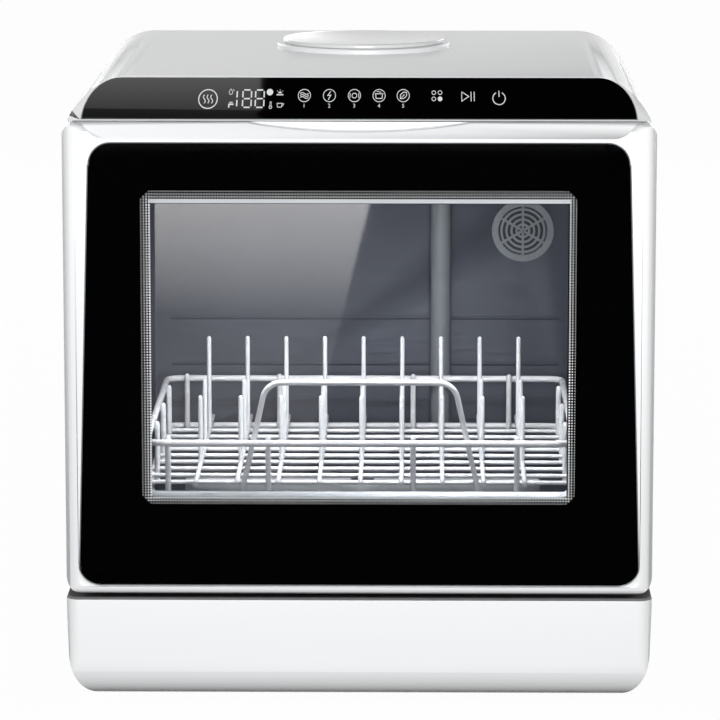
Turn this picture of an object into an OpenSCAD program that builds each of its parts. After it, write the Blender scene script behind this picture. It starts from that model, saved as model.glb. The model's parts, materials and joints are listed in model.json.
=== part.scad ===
// Countertop dishwasher: a white cabinet on a plinth, a drop-down door with a black glass
// front and a window, a sloped control strip and a round water filler cap on top.
// Millimetres, +Z up, front towards -Y, origin at the middle of the base, on the worktop.

/* [Casing] */
// Width over the side panels
case_w = 420; // [410:5:460]
// Depth from the door's face to the back
case_d = 435; // [430:5:460]
// Height of the top surface above the worktop
case_h = 445; // [440:1:455]
// Wall of the moulded covers
shell = 2.5; // [2:0.1:3]
// Radius of the long edges of the top
top_r = 46; // [44:0.5:47]
// Radius of the top's back edge
back_r = 28; // [20:1:30]
// Radius of the casing's upright rear edges
rear_edge_r = 12; // [8:1:14]
// Radius of the casing's upright front edges
front_edge_r = 10; // [8:1:11]

/* [Plinth and feet] */
// Height of the feet that shows
foot_h = 3; // [2:0.5:5]
// Radius of a foot
foot_r = 12; // [10:1:14]
// Height of the plinth
plinth_h = 70.5; // [68:0.5:74]
// Height of the rounding along the plinth's lower edges
plinth_round_h = 30; // [24:1:34]
// Depth of that rounding at the front
plinth_front_in = 13; // [12:1:20]
// Depth of that rounding at the sides
plinth_side_in = 21; // [14:1:22]
// Lean of the plinth's sides, in degrees
plinth_lean = 2.3; // [0:0.1:3]
// Thickness of the steel base plate
base_plate_t = 2; // [1.5:0.5:3]

/* [Door] */
// Gap between plinth and door
door_gap = 3.5; // [3.4:0.1:4]
// Gap between door and top cover
nose_gap = 1.6; // [1.5:0.1:3]
// Thickness of the door
door_t = 38; // [36:0.5:40]
// Gap between the door's inner face and the front frame, where the seal lies
seal_gap = 3.5; // [3.4:0.1:4]
// Radius of the door's upper corners
door_top_r = 10; // [8:1:12]
// Radius of the door's lower corners
door_low_r = 14; // [12:1:16]
// Height of the hinge axis above the door's lower edge
hinge_up = 12.5; // [12:0.5:13]
// Distance of the hinge axis behind the door's face
hinge_in = 12.5; // [12:0.5:13]
// Radius of the hinge pins
hinge_pin_r = 3; // [2.5:0.25:3.5]
// Thickness of the front glass
glass_t = 4; // [3:0.5:4.5]
// Distance of the glass's upper corners from the door's sides
glass_top_side = 19; // [17:0.5:22]
// Half width of the front glass at its upper edge
glass_top_hw = case_w / 2 - glass_top_side; // [188:0.5:193]
// Distance of the glass's lower corners from the door's sides
glass_low_side = 9.5; // [9.5:0.5:13]
// Half width of the front glass at its lower edge
glass_low_hw = case_w / 2 - glass_low_side; // [197:0.5:200.5]
// Distance of the glass from the door's lower edge
glass_low_rim = 7; // [6:0.5:9]
// Distance of the glass from the door's upper edge
glass_top_rim = 13; // [12.5:0.5:18]
// Distance of the window from the door's sides
window_side = 62; // [60:1:70]
// Half width of the window
window_hw = case_w / 2 - window_side; // [140:1:150]
// Height of the window's lower edge above the door's lower edge
window_up = 71; // [68:1:76]
// Distance of the window's upper edge below the top surface of the case
window_drop = 86; // [83:1:97]
// Height of the window
window_h = case_h - window_drop - foot_h - plinth_h - door_gap - window_up; // [200:1:214]
// Height of the sloped band along the door's upper edge
band_h = 10.5; // [9.5:0.5:12]
// Depth of the sloped band at the door's upper edge
band_in = 6; // [5:0.5:7]
// Distance of the band's ends from the door's sides
band_side = 12.5; // [12:0.5:16]
// Radius of the band's lower corners
band_r = 19; // [14:1:22]
// Half length of the finger grip in the door's upper edge
grip_hw = 79; // [60:1:90]
// Drop of the finger grip at its middle
grip_drop = 6; // [5.5:0.5:8]
// Depth of the finger grip from the door's face
grip_in = 16; // [14:1:18]

/* [Control strip] */
// Height of the sloped nose that carries the control strip
nose_rise = 27.5; // [26:0.5:29]
// Depth of the sloped nose
nose_run = 45; // [42:1:48]
// Distance of the control glass's lower corners from the sides of the case
strip_low_side = 14; // [13:0.5:20]
// Half width of the control glass at its lower edge
strip_low_hw = case_w / 2 - strip_low_side; // [190:1:197]
// Distance of the ends of its straight upper edge from the sides of the case
strip_top_side = 39.5; // [39:0.5:45]
// Half width of the straight upper edge of the control glass
strip_top_hw = case_w / 2 - strip_top_side; // [165:1:172]
// Thickness of the control glass
strip_t = 1.5; // [1:0.25:1.75]
// Height of its lower edge above the underside of the nose
strip_rim = 0.6; // [0.5:0.1:0.8]
// Thickness of the control board
board_t = 1.6; // [1:0.2:2]

/* [Filler] */
// Distance of the filler cap's middle from the back of the case
cap_back = 160.5; // [158:0.5:167]
// Distance of the filler cap behind the middle of the case
cap_y = case_d / 2 - cap_back; // [50:1:60]
// Radius of the filler cap
cap_r = 61.5; // [60:0.5:63]
// Height of the cap's rim above its collar
cap_h = 3.2; // [3:0.1:4]
// Radius of the collar round the cap
collar_r = 66; // [65:0.5:68]
// Height of the collar above the top
collar_h = 3.6; // [3:0.1:4]
// Radius of the filler's bore
fill_bore_r = 48; // [44:1:48]

/* [Tub] */
// Room between the tub and the outside of the case at each side
tub_side = 38; // [37:0.5:39]
// Inner width of the tub
tub_w = case_w - 2 * tub_side; // [342:1:346]
// Room before and behind the tub together
tub_ends = 110; // [107:1:112]
// Inner depth of the tub
tub_d = case_d - tub_ends; // [323:1:328]
// Wall of the tub
tub_wall = 2; // [1.5:0.25:2.5]
// Height of the tub floor above the worktop
tub_floor = 105; // [104:1:107]
// Distance of the tub's ceiling below the top surface of the case
tub_drop = 49; // [48:1:54]
// Inner height of the tub
tub_h = case_h - tub_drop - tub_floor; // [286:1:292]
// Radius inside the tub's long corners
tub_r = 6; // [3:1:6]
// Height of the sill at the tub's mouth
sill_h = 8; // [7:0.5:9]
// Width of the door seal
seal_w = 7; // [6:0.5:8]

/* [Basket] */
// Distance of the basket's side wires from the tub's walls
rack_side = 16; // [16:1:20]
// Half width of the basket between its side wires
rack_hw = tub_w / 2 - rack_side; // [152:1:156]
// Radius of the basket's frame wires
wire_r = 2.5; // [2:0.1:2.6]
// Radius of the basket's thin wires
thin_r = 1.7; // [1.2:0.1:1.8]
// Radius of the basket's upright wires
post_r = 2.1; // [1.8:0.1:2.2]
// Height of the basket's lower wire above the tub floor
rack_low_up = 32.7; // [32:0.1:34]
// Height of the basket's upper wire above the lower one
rack_rise = 37.8; // [34:0.2:42]
// Distance from the door's inner face to the basket
rack_back = 25; // [24:0.5:28]
// Room before and behind the basket together
rack_ends = 43; // [41:1:55]
// Depth of the basket
rack_d = tub_d - rack_ends; // [270:1:284]
// Height of the arched handle above the basket's lower wire
arch_rise = 81.8; // [70:0.2:90]
// Half width of the arch's straight top
arch_hw = 57; // [50:1:60]
// Half width of the arch's feet
arch_foot_hw = 86; // [80:1:90]
// Radius of the rollers
roller_r = 8; // [7:0.25:8]

/* [Wash system] */
// Length of a lower spray arm from its middle
low_arm_l = 135; // [120:1:136]
// Length of an upper spray arm from its middle
top_arm_l = 120; // [100:1:125]
// Radius of the spray arms' bearings
arm_pin_r = 6; // [5:0.5:6.5]
// Radius of the riser pipe
riser_r = 8; // [7:0.5:8.5]
// Distance of the riser pipe to the right of the middle
riser_x = 60; // [40:1:75]
// Radius of the drain connector
drain_r = 9; // [8:0.5:10]
// Radius of the water inlet connector
inlet_r = 13.2; // [12:0.1:13.2]
// Radius of the fan rotor
fan_r = 30; // [26:1:32]

/* [Fits] */
// Radial clearance of a running fit
run = 0.05; // [0.02:0.01:0.08]
// Clearance between pieces that sit in each other
sit = 0.2; // [0.15:0.05:0.3]

/* [Hidden] */
$fn = 64;
eps = 0.01;
far = 1000;
white = "#f4f4f5";
black = "#0b0b0d";
steel = "#9a9fa6";
wire = "#c9cdd2";
dark = "#33363c";
grey = "#8b8f95";
rubber = "#3a3b3e";

// Casing
hw = case_w / 2;
yf = -case_d / 2;
yb = case_d / 2;
inner_hw = hw - shell;
inner_yb = yb - shell;
plinth_top = foot_h + plinth_h;
skirt_z = case_h - top_r;
nose_z = case_h - nose_rise;
nose_front = yf + band_in * (1 + nose_gap / band_h);
nose_len = sqrt(nose_run * nose_run + nose_rise * nose_rise);
nose_tilt = atan2(nose_rise, nose_run);
nose_wall = strip_t + shell;
slot_low = 17;
slot_high = 36;

// Door
door_z0 = plinth_top + door_gap;
door_z1 = nose_z - nose_gap;
door_in = yf + door_t;
hinge_y = yf + hinge_in;
hinge_z = door_z0 + hinge_up;
frame_y = door_in + seal_gap;
frame_t = 3;
frame_back = frame_y + frame_t;
glass_front = yf + 0.3;
glass_back = glass_front + glass_t;
mask_t = 0.3;
mask_back = glass_back + mask_t;
glass_z0 = door_z0 + glass_low_rim;
glass_z1 = door_z1 - glass_top_rim;
glass_top_r = 16;
glass_low_r = 15;
window_z0 = door_z0 + window_up;
window_z1 = window_z0 + window_h;
door_wall = 3;
door_face_back = mask_back + door_wall;
cavity_drop = 14;
liner_t = 2;
liner_front = door_in - liner_t;
pane_t = 3.2;
pane_front = liner_front - pane_t;
pane_lap = 8;
tunnel_wall = 5;
arm_t = 6;
hinge_block_hw = 13;
arm_x = hw - hinge_block_hw - 4;
arm_half = 5;
notch_hw = 4.2;
knuckle_r = 5.5;
door_screw_x = hw - 12;
door_screw_z = [door_z0 + 60, door_z1 - 40];
hinge_block_h = 22;
rebate = 3;
rebate_low_r = 8;
rebate_top_r = 6;

// Tub and its mouth
tub_hw = tub_w / 2;
tub_y0 = frame_back;
tub_y1 = tub_y0 + tub_d;
tub_top = tub_floor + tub_h;
tub_roof = tub_top + tub_wall;
tub_rear = tub_y1 + tub_wall;
tub_under = tub_floor - tub_wall;
mouth_z0 = tub_floor + sill_h;
mouth_z1 = tub_top - 4;
mouth_hw = tub_hw - 2;
seal_in = 1.5;
seal_out = seal_in + seal_w;
arm_y = (tub_y0 + tub_y1) / 2 + 0.5;
tongue_z = mouth_z1 + seal_out + 7;
tongue_end = frame_back + 8;

// Basket
rack_front = door_in + rack_back;
rack_y0 = rack_front + wire_r;
rack_y1 = rack_front + rack_d - wire_r;
rack_low = tub_floor + rack_low_up;
rack_top = rack_low + rack_rise;
rack_corner = 12;
post_y = rack_y0 + wire_r + post_r + eps;
floor_wire_z = rack_low + wire_r + thin_r + eps;
long_wire_z = floor_wire_z + 2 * thin_r + eps;
post_x = [-rack_hw + 16, -67, 38.5, rack_hw - 42];
cross_pitch = 26;
cross_y0 = rack_y0 + 24;
track_z = tub_floor + 16;
track_t = 3;
roller_z = track_z + roller_r + sit;
roller_w = 5;
roller_x = rack_hw + wire_r + 1;
axle_r = 2.5;
front_roller_y = rack_front + 60;
rear_roller_y = rack_y1 - 40;

// Spray arms
low_arm_z = tub_floor + 8;
low_arm_t = 8;
top_pipe_r = 7;
top_pipe_z = tub_top - top_pipe_r - 3;
top_arm_t = 7;
top_arm_z = top_pipe_z - top_pipe_r - 3 - top_arm_t;
arm_w = 26;
riser_y = tub_y1 - riser_r - 3;

// Base
plate_z = foot_h + shell;
plate_top = plate_z + base_plate_t;
plate_y0 = yf + 52;
plate_y1 = yb - 32;
foot_x = hw - 38;
foot_y0 = yf + 60;
foot_y1 = yb - 24;
foot_stem_r = 4;
plate_hw = foot_x - foot_stem_r - 4;
sump_y = arm_y + 88;
sump_r = 45;
sump_deep = 36;
cup_r = 30;
pump_x = -75;
pump_y = sump_y;
pump_z = plate_top + 34;
pump_r = 30;
drain_x = 72;
drain_y = sump_y;
drain_z = plate_top + 33;
drain_pump_r = 20;
inlet_x = 122;
port_x0 = 50;
port_x1 = 150;
port_z0 = plate_top + 11;
port_z1 = plate_top + 55;
port_y = yb - 26;
port_end = yb - 3;
relief = 1.5;
float_x = 120;
float_y = arm_y - 90;

// Filler
collar_top = case_h + collar_h;
cap_low = collar_top + sit;
cap_top = cap_low + cap_h;
spout_r = fill_bore_r + 6;
collar_tube_z = case_h - 30;
duct_floor = tub_roof + 3;
duct_top = collar_tube_z + 8;
tank_x0 = -165;
tank_x1 = 75;
tank_y0 = tub_rear + 4;
tank_y1 = inner_yb - 6;
tank_z0 = tub_floor + 5;
tank_z1 = tub_top - 11;

// Fan
fan_x = 125;
fan_z = tub_top - fan_r - 76;
fan_wall = 2.5;
fan_gap = 2;
fan_d = 34;

// ---- Shared shapes ----

// A rectangle from corner a to corner b with its own radius at each corner:
// r = [low left, low right, top right, top left].
module round_rect(a, b, r) {
  difference() {
    translate(a) square(b - a);
    corner_cut(a, 0, r[0]);
    corner_cut([b[0], a[1]], 90, r[1]);
    corner_cut(b, 180, r[2]);
    corner_cut([a[0], b[1]], 270, r[3]);
  }
}

// What a round corner takes away at point p, for a corner that opens at angle t.
module corner_cut(p, t, r) {
  if (r > 0)
    translate(p) rotate(t) difference() {
      translate([-1, -1]) square(r + 1);
      translate([r, r]) circle(r);
    }
}

// Extrudes an outline drawn in X and Z from y0 to y1.
module along_y(y0, y1) {
  translate([0, y1, 0]) rotate([90, 0, 0]) linear_extrude(y1 - y0) children();
}

// Extrudes an outline drawn in Y and Z from x0 to x1.
module along_x(x0, x1) {
  translate([x0, 0, 0]) rotate([90, 0, 90]) linear_extrude(x1 - x0) children();
}

// A box between two corners.
module block(a, b) {
  translate(a) cube(b - a);
}

// A cylinder along X, Y or Z from one point.
module rod_x(p, l, r) {
  translate(p) rotate([0, 90, 0]) cylinder(r = r, h = l);
}
module rod_y(p, l, r) {
  translate(p) rotate([-90, 0, 0]) cylinder(r = r, h = l);
}
module rod_z(p, l, r) {
  translate(p) cylinder(r = r, h = l);
}

// The same child at the left and mirrored at the right.
module both_sides() {
  children();
  mirror([1, 0, 0]) children();
}

// A quarter bend of wire in the XY plane, round centre c, from angle t.
module bend(c, t, big, small) {
  translate(c) rotate(t) rotate_extrude(angle = 90)
    translate([big, 0]) circle(small);
}

// Outline of the case seen from above, pulled in by inset.
module plan(inset) {
  ri = rear_edge_r - inset;
  fi = front_edge_r - inset;
  round_rect([-hw + inset, yf + inset], [hw - inset, yb - inset], [fi, fi, ri, ri]);
}

// ---- Plinth and base ----

// Side or front view of the plinth, pulled in by inset: its lower corners are quarter ovals, [width, height]
module plinth_view(x0, x1, left, right, lean, inset) {
  low = foot_h + inset;
  top = plinth_top - shell;
  turn = [for (i = [0 : 15]) 6 * i];
  polygon(concat(
    [for (t = turn) let (z = low + (left[1] - inset) * (1 - sin(t)))
      [x0 + inset + (left[0] - inset) * (1 - cos(t)) + (top - z) * tan(lean), z]],
    [for (t = turn) let (z = low + (right[1] - inset) * (1 - cos(t)))
      [x1 - inset - (right[0] - inset) * (1 - sin(t)) - (top - z) * tan(lean), z]],
    [[x1 - inset, top], [x1 - inset, plinth_top + 1], [x0 + inset, plinth_top + 1], [x0 + inset, top]]));
}

module plinth_form(inset) {
  bottom = foot_h + inset;
  front = [plinth_front_in, plinth_round_h];
  side = [plinth_side_in, plinth_round_h];
  intersection() {
    translate([0, 0, bottom]) linear_extrude(plinth_top - bottom) plan(inset);
    along_x(-far, far) plinth_view(yf, yb, front, [rear_edge_r, rear_edge_r], 0, inset);
    along_y(-far, far) plinth_view(-hw, hw, side, side, plinth_lean, inset);
  }
}

module plinth() {
  color(white) difference() {
    union() {
      difference() {
        plinth_form(0);
        difference() {
          plinth_form(shell);
          block([-hw, yf, plinth_top - shell], [hw, frame_back + 2, plinth_top + 1]);
        }
        block([-inner_hw, frame_back + 2, plinth_top - shell - 1], [inner_hw, inner_yb, plinth_top + 1]);
      }
      // The recess at the back round the hose connectors
      block([port_x0 - shell, port_y - shell, port_z0 - shell],
        [port_x1 + shell, yb - shell, port_z1 + shell]);
    }
    block([port_x0, port_y, port_z0], [port_x1, yb + 1, port_z1]);
    rod_y([drain_x, port_y - 10, drain_z], 20, drain_r + sit);
    rod_y([inlet_x, port_y - 10, drain_z], 20, inlet_r + sit);
    rod_y([-150, yb - 10, drain_z], 20, 7 + sit);
    // Service opening under the base plate
    block([-plate_hw + 22, plate_y0 + 14, 0], [plate_hw - 22, plate_y1 - 14, plate_z + 1]);
    both_sides() for (y = [foot_y0, foot_y1])
      rod_z([foot_x, y, 0], plate_z + 1, foot_stem_r + run);
  }
}

module base_plate() {
  color(steel) difference() {
    translate([0, 0, plate_z]) linear_extrude(base_plate_t)
      round_rect([-plate_hw, plate_y0], [plate_hw, plate_y1], [8, 8, 8, 8]);
    for (x = [-90 : 20 : 90])
      block([x - 2.5, arm_y - 50, plate_z - 1], [x + 2.5, arm_y - 20, plate_top + 1]);
  }
}

module feet() {
  color(rubber) both_sides() for (y = [foot_y0, foot_y1]) {
    rod_z([foot_x, y, 0], foot_h, foot_r);
    rod_z([foot_x, y, 0], plate_z + 2, foot_stem_r);
    rod_z([foot_x, y, plate_z], 2, foot_stem_r + 2);
  }
}

// ---- Casing ----

module side_panel() {
  color(white) translate([0, 0, plinth_top]) linear_extrude(skirt_z - plinth_top)
    intersection() {
      difference() {
        plan(0);
        plan(shell);
      }
      translate([hw - 32, frame_y]) square([40, case_d]);
    }
}

module right_side_panel() {
  side_panel();
}

module left_side_panel() {
  mirror([1, 0, 0]) side_panel();
}

module back_panel() {
  panel_y = inner_yb - sit - 2;
  panel_hw = hw - rear_edge_r - 2;
  color("#e6e7e8") difference() {
    block([-panel_hw, panel_y, plinth_top], [panel_hw, inner_yb - sit, skirt_z + 2]);
    // Vents in front of the fan, and a field of louvres lower down
    for (z = [-24 : 8 : 24])
      block([fan_x - 26, panel_y - 1, fan_z + z - 2], [fan_x + 26, inner_yb, fan_z + z + 2]);
    for (z = [0 : 8 : 40])
      block([-60, panel_y - 1, plinth_top + 20 + z], [60, inner_yb, plinth_top + 24 + z]);
  }
}

module case_screws() {
  panel_y = inner_yb - sit - 2;
  color(steel) both_sides() {
    for (z = [plinth_top + 30, (plinth_top + skirt_z) / 2, skirt_z - 30])
      rod_y([hw - rear_edge_r - 10, panel_y - 2.2, z], 2.2, 3.4);
    for (y = [plate_y0 + 5, 0, plate_y1 - 8])
      rod_z([plate_hw - 12, y, plate_top], 2, 3.4);
  }
}

module front_frame() {
  color(white) difference() {
    along_y(frame_y, frame_back) intersection() {
      round_rect([-inner_hw + sit, plinth_top], [inner_hw - sit, case_h - shell - sit],
        [0, 0, top_r - shell - sit, top_r - shell - sit]);
      translate([-hw, 0]) square([case_w, nose_z]);
    }
    along_y(frame_y - 1, frame_back + 1)
      round_rect([-mouth_hw, mouth_z0], [mouth_hw, mouth_z1], [tub_r, tub_r, tub_r, tub_r]);
    both_sides()
      block([arm_x - arm_t / 2 - sit, frame_y - 1, hinge_z - arm_half - sit],
        [arm_x + arm_t / 2 + sit, frame_back + 1, hinge_z + arm_half + sit]);
    block([-12, frame_y - 1, tongue_z - 4], [12, frame_back + 1, tongue_z + 6]);
  }
}

// Side view of the top cover, pulled in by inset
module cover_side(inset) {
  low = skirt_z - 1;
  lean = inset / cos(nose_tilt);
  difference() {
    round_rect([nose_front - 1, low], [yb - inset, case_h - inset], [0, 0, back_r - inset, 0]);
    // The sloped nose
    translate([nose_front, nose_z - lean]) rotate(nose_tilt)
      translate([-40, 0]) square([120, 60]);
  }
}

module cover_front(inset) {
  round_rect([-hw + inset, skirt_z - 1], [hw - inset, case_h - inset],
    [0, 0, top_r - inset, top_r - inset]);
}

module cover_form(inset) {
  intersection() {
    along_x(-far, far) cover_side(inset);
    along_y(-far, far) cover_front(inset);
    translate([0, 0, skirt_z - 1]) linear_extrude(case_h) round_rect(
      [-hw + inset, yf - 5], [hw - inset, yb - inset],
      [0, 0, rear_edge_r - inset, rear_edge_r - inset]);
  }
}

// Places children on the sloped nose: X across, Y up the slope, Z out of its face
module on_nose() {
  translate([0, nose_front, nose_z]) rotate([nose_tilt, 0, 0]) children();
}

// Outline of the control glass on the slope, grown by grow
module strip_outline(grow) {
  low = 1.6 - grow;
  high = nose_len - 2 + grow;
  wide = strip_low_hw - strip_top_hw;
  side = [for (i = [0 : 12]) [strip_top_hw + grow + wide * cos(i * 7.5), low + (high - low) * sin(i * 7.5)]];
  other = [for (i = [12 : -1 : 0]) [-side[i][0], side[i][1]]];
  polygon(concat(side, other));
}

module top_cover() {
  color(white) difference() {
    cover_form(0);
    // Hollow from below; the nose keeps a floor and a thicker face
    difference() {
      cover_form(shell);
      on_nose() translate([-hw, -20, -nose_wall]) cube([case_w, 100, 20]);
      block([-hw, yf - 5, skirt_z - 2], [hw, frame_back + 2, nose_z + shell]);
    }
    block([-hw - 1, yf - 5, skirt_z - 2], [hw + 1, frame_y, nose_z]);
    block([-inner_hw, frame_y - 1, skirt_z - 2], [inner_hw, inner_yb, skirt_z + 1]);
    along_y(frame_y - 1, frame_back + 2) intersection() {
      cover_front(shell);
      translate([-hw, 0]) square([case_w, nose_z]);
    }
    block([-hw - 1, yf - 5, skirt_z - 2], [hw + 1, yb + 1, skirt_z]);
    strip_slab(sit, 20);
    on_nose() translate([-118, slot_low, -nose_wall - 0.5]) cube([236, slot_high - slot_low, 20]);
    rod_z([0, cap_y, case_h - 10], 20, spout_r + sit);
  }
}

// Slab under that outline, bevelled where it comes near the underside of the nose
module strip_slab(grow, rise) {
  intersection() {
    on_nose() translate([0, 0, -strip_t]) linear_extrude(strip_t + rise) strip_outline(grow);
    block([-hw, yf - 5, nose_z + strip_rim], [hw, yb, case_h + 20]);
  }
}

module control_glass() {
  color(black) strip_slab(0, 0);
}

// The board under the strip, with its display and the springs of its touch keys
module control_board() {
  keys = [-108, -40, -22, -4.5, 13.5, 31, 54, 77, 100];
  spring_h = shell - 2 * eps;
  color("#1d5a3a") on_nose() translate([-120, slot_low - 1.5, -nose_wall - board_t])
    cube([240, slot_high - slot_low + 4.5, board_t]);
  color(wire) on_nose() for (x = keys)
    translate([x, (slot_low + slot_high) / 2, -nose_wall + eps]) cylinder(r = 3.5, h = spring_h);
  color(dark) on_nose() translate([-94, slot_low + 1, -nose_wall + eps])
    cube([42, slot_high - slot_low - 2, spring_h]);
}

// ---- Filler ----

module fill_collar() {
  color(white) difference() {
    union() {
      rod_z([0, cap_y, case_h], collar_h, collar_r);
      rod_z([0, cap_y, collar_tube_z], case_h + collar_h - collar_tube_z, spout_r);
    }
    rod_z([0, cap_y, collar_tube_z - 1], case_h, fill_bore_r);
    difference() {
      rod_z([0, cap_y, collar_top - 2], 5, fill_bore_r + 4);
      rod_z([0, cap_y, collar_top - 3], 7, fill_bore_r + 1);
    }
  }
}

module fill_cap() {
  dish_r = 380;
  color(white) difference() {
    union() {
      rod_z([0, cap_y, cap_low], cap_h, cap_r);
      rod_z([0, cap_y, cap_low - 18], 18, fill_bore_r - 0.6);
    }
    rod_z([0, cap_y, cap_low - 19], 18.5, fill_bore_r - 3);
    translate([0, cap_y, cap_top + dish_r - 2.4]) sphere(dish_r, $fn = 200);
  }
}

module cap_seal() {
  color(rubber) difference() {
    rod_z([0, cap_y, cap_low - 1.8], 1.8, fill_bore_r + 3.7);
    rod_z([0, cap_y, cap_low - 3], 4, fill_bore_r + 1.3);
  }
}

module fill_duct() {
  sleeve = spout_r + sit;
  box_hw = 30;
  end_y = tank_y1 - 4;
  color(grey) difference() {
    union() {
      rod_z([0, cap_y, duct_floor], duct_top - duct_floor, sleeve + 2);
      block([-box_hw, cap_y, duct_floor], [box_hw, end_y, collar_tube_z - 1]);
    }
    rod_z([0, cap_y, duct_floor + 2], 60, sleeve);
    block([-box_hw + 2, cap_y, duct_floor + 2], [box_hw - 2, end_y - 2, collar_tube_z - 3]);
    block([-box_hw + 6, tank_y0 + 8, duct_floor - 1], [box_hw - 6, end_y - 6, duct_floor + 3]);
  }
}

module water_tank() {
  neck_hw = 30;
  color("#cfd8de") difference() {
    union() {
      block([tank_x0, tank_y0, tank_z0], [tank_x1, tank_y1, tank_z1]);
      block([-neck_hw, tank_y0 + 3, tank_z1 - 1], [neck_hw, tank_y1 - 4, duct_floor]);
      for (z = [tank_z0 + 20, tank_z1 - 40])
        block([tank_x0 + 10, tub_rear, z], [tank_x0 + 40, tank_y0 + 1, z + 20]);
    }
    block([tank_x0 + 2, tank_y0 + 2, tank_z0 + 2], [tank_x1 - 2, tank_y1 - 2, tank_z1 - 2]);
    block([-neck_hw + 6, tank_y0 + 8, tank_z1 - 3], [neck_hw - 6, tank_y1 - 10, duct_floor + 1]);
  }
}

// ---- Tub ----

module tub_outline(grow) {
  r = tub_r + grow;
  round_rect([-tub_hw - grow, tub_floor - grow], [tub_hw + grow, tub_top + grow], [r, r, r, r]);
}

module tub_shell() {
  color("#5a5f6b") difference() {
    along_y(tub_y0, tub_rear) tub_outline(tub_wall);
    along_y(tub_y0 - 1, tub_y1) tub_outline(0);
    rod_z([0, sump_y, tub_under - 1], 10, sump_r - 5);
    rod_z([0, arm_y, tub_under - 1], 10, arm_pin_r + 4 + sit);
    rod_z([riser_x, riser_y, tub_under - 1], 10, riser_r + sit);
    rod_y([fan_x, tub_y1 - 5, fan_z], 20, 18);
  }
}

module tub_seal() {
  r = tub_r;
  color(rubber) difference() {
    along_y(door_in + sit, frame_y)
      round_rect([-mouth_hw - seal_out, mouth_z0 - seal_out], [mouth_hw + seal_out, mouth_z1 + seal_out],
        [r + 8, r + 8, r + 8, r + 8]);
    along_y(door_in, frame_y + 1)
      round_rect([-mouth_hw - seal_in, mouth_z0 - seal_in], [mouth_hw + seal_in, mouth_z1 + seal_in],
        [r, r, r, r]);
  }
}

module tub_legs() {
  color(grey) both_sides() for (y = [tub_y0 + 30, tub_rear - 22])
    difference() {
      block([tub_hw - 34, y - 12, plate_top], [tub_hw - 14, y + 12, tub_under]);
      block([tub_hw - 31, y - 13, plate_top + 6], [tub_hw - 17, y + 13, tub_under - 6]);
    }
}

module basket_tracks() {
  color(grey) both_sides() difference() {
    block([rack_hw + wire_r, tub_y0 + 1, track_z - track_t], [tub_hw, tub_y1 - 8, track_z]);
    block([rack_hw - 1, tub_y0, track_z - track_t - 1], [rack_hw + 4, tub_y0 + 12, track_z + 1]);
  }
}

module sump() {
  color(dark) difference() {
    union() {
      rod_z([0, sump_y, tub_under - 3], 3, sump_r + 4);
      rod_z([0, sump_y, tub_under - sump_deep], sump_deep, sump_r);
      rod_z([0, sump_y, pump_z - 14], tub_under - sump_deep - pump_z + 15, 16);
      // Sockets towards both pumps
      rod_x([pump_x + 25, sump_y, pump_z], -pump_x - 25, 12);
      rod_x([0, sump_y, drain_z], drain_x - 13, 10);
    }
    rod_z([0, sump_y, tub_under - sump_deep + 3], 60, sump_r - 4);
  }
}

module filter_plate() {
  color(steel) difference() {
    block([-62, sump_y - 52, tub_floor], [62, sump_y + sump_r - 3, tub_floor + 1.2]);
    rod_z([0, sump_y, tub_floor - 1], 5, cup_r + 1.5);
    for (x = [-56 : 8 : 56], y = [sump_y - 46, sump_y - 39])
      rod_z([x, y, tub_floor - 1], 4, 2);
  }
}

module filter_cup() {
  top = tub_floor + 2.5;
  color(grey) difference() {
    union() {
      rod_z([0, sump_y, tub_under - 28], top - tub_under + 28, cup_r);
      rod_z([0, sump_y, tub_floor + 1.3], 1.4, cup_r + 6);
      block([-18, sump_y - 2.5, tub_under - 20], [18, sump_y + 2.5, tub_floor + 5]);
    }
    difference() {
      rod_z([0, sump_y, tub_under - 25], 60, cup_r - 2.5);
      block([-18, sump_y - 2.5, tub_under - 30], [18, sump_y + 2.5, tub_floor + 5]);
    }
  }
}

module spray_hub() {
  color(grey) difference() {
    union() {
      rod_z([0, arm_y, tub_under - 20], 20 + tub_wall, arm_pin_r + 4);
      rod_z([0, arm_y, tub_floor], low_arm_z - sit - tub_floor, 15);
      rod_z([0, arm_y, tub_floor], low_arm_z + low_arm_t + 1 - tub_floor, arm_pin_r);
      rod_z([0, arm_y, low_arm_z + low_arm_t + sit], 3, arm_pin_r + 3);
    }
    rod_z([0, arm_y, tub_under - 21], 40, arm_pin_r - 2);
  }
}

// A spray arm of two tapering wings with nozzles, turning about its middle
module spray_arm(z, l, t) {
  color("#d5d8db") difference() {
    translate([0, arm_y, z]) linear_extrude(t) union() {
      circle(20);
      for (side = [0, 180])
        rotate(side) polygon([[0, -arm_w / 2], [l - 12, -9], [l, -5], [l, 5], [l - 12, 9], [0, arm_w / 2]]);
    }
    rod_z([0, arm_y, z - 1], t + 2, arm_pin_r + run);
    for (x = [30 : 22 : l - 12])
      translate([0, arm_y, z]) for (side = [0, 180])
        rotate(side) translate([x, 3, t - 1.2]) cylinder(r = 1.8, h = 3);
  }
}

module lower_spray_arm() {
  spray_arm(low_arm_z, low_arm_l, low_arm_t);
}

module upper_spray_arm() {
  spray_arm(top_arm_z, top_arm_l, top_arm_t);
}

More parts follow.
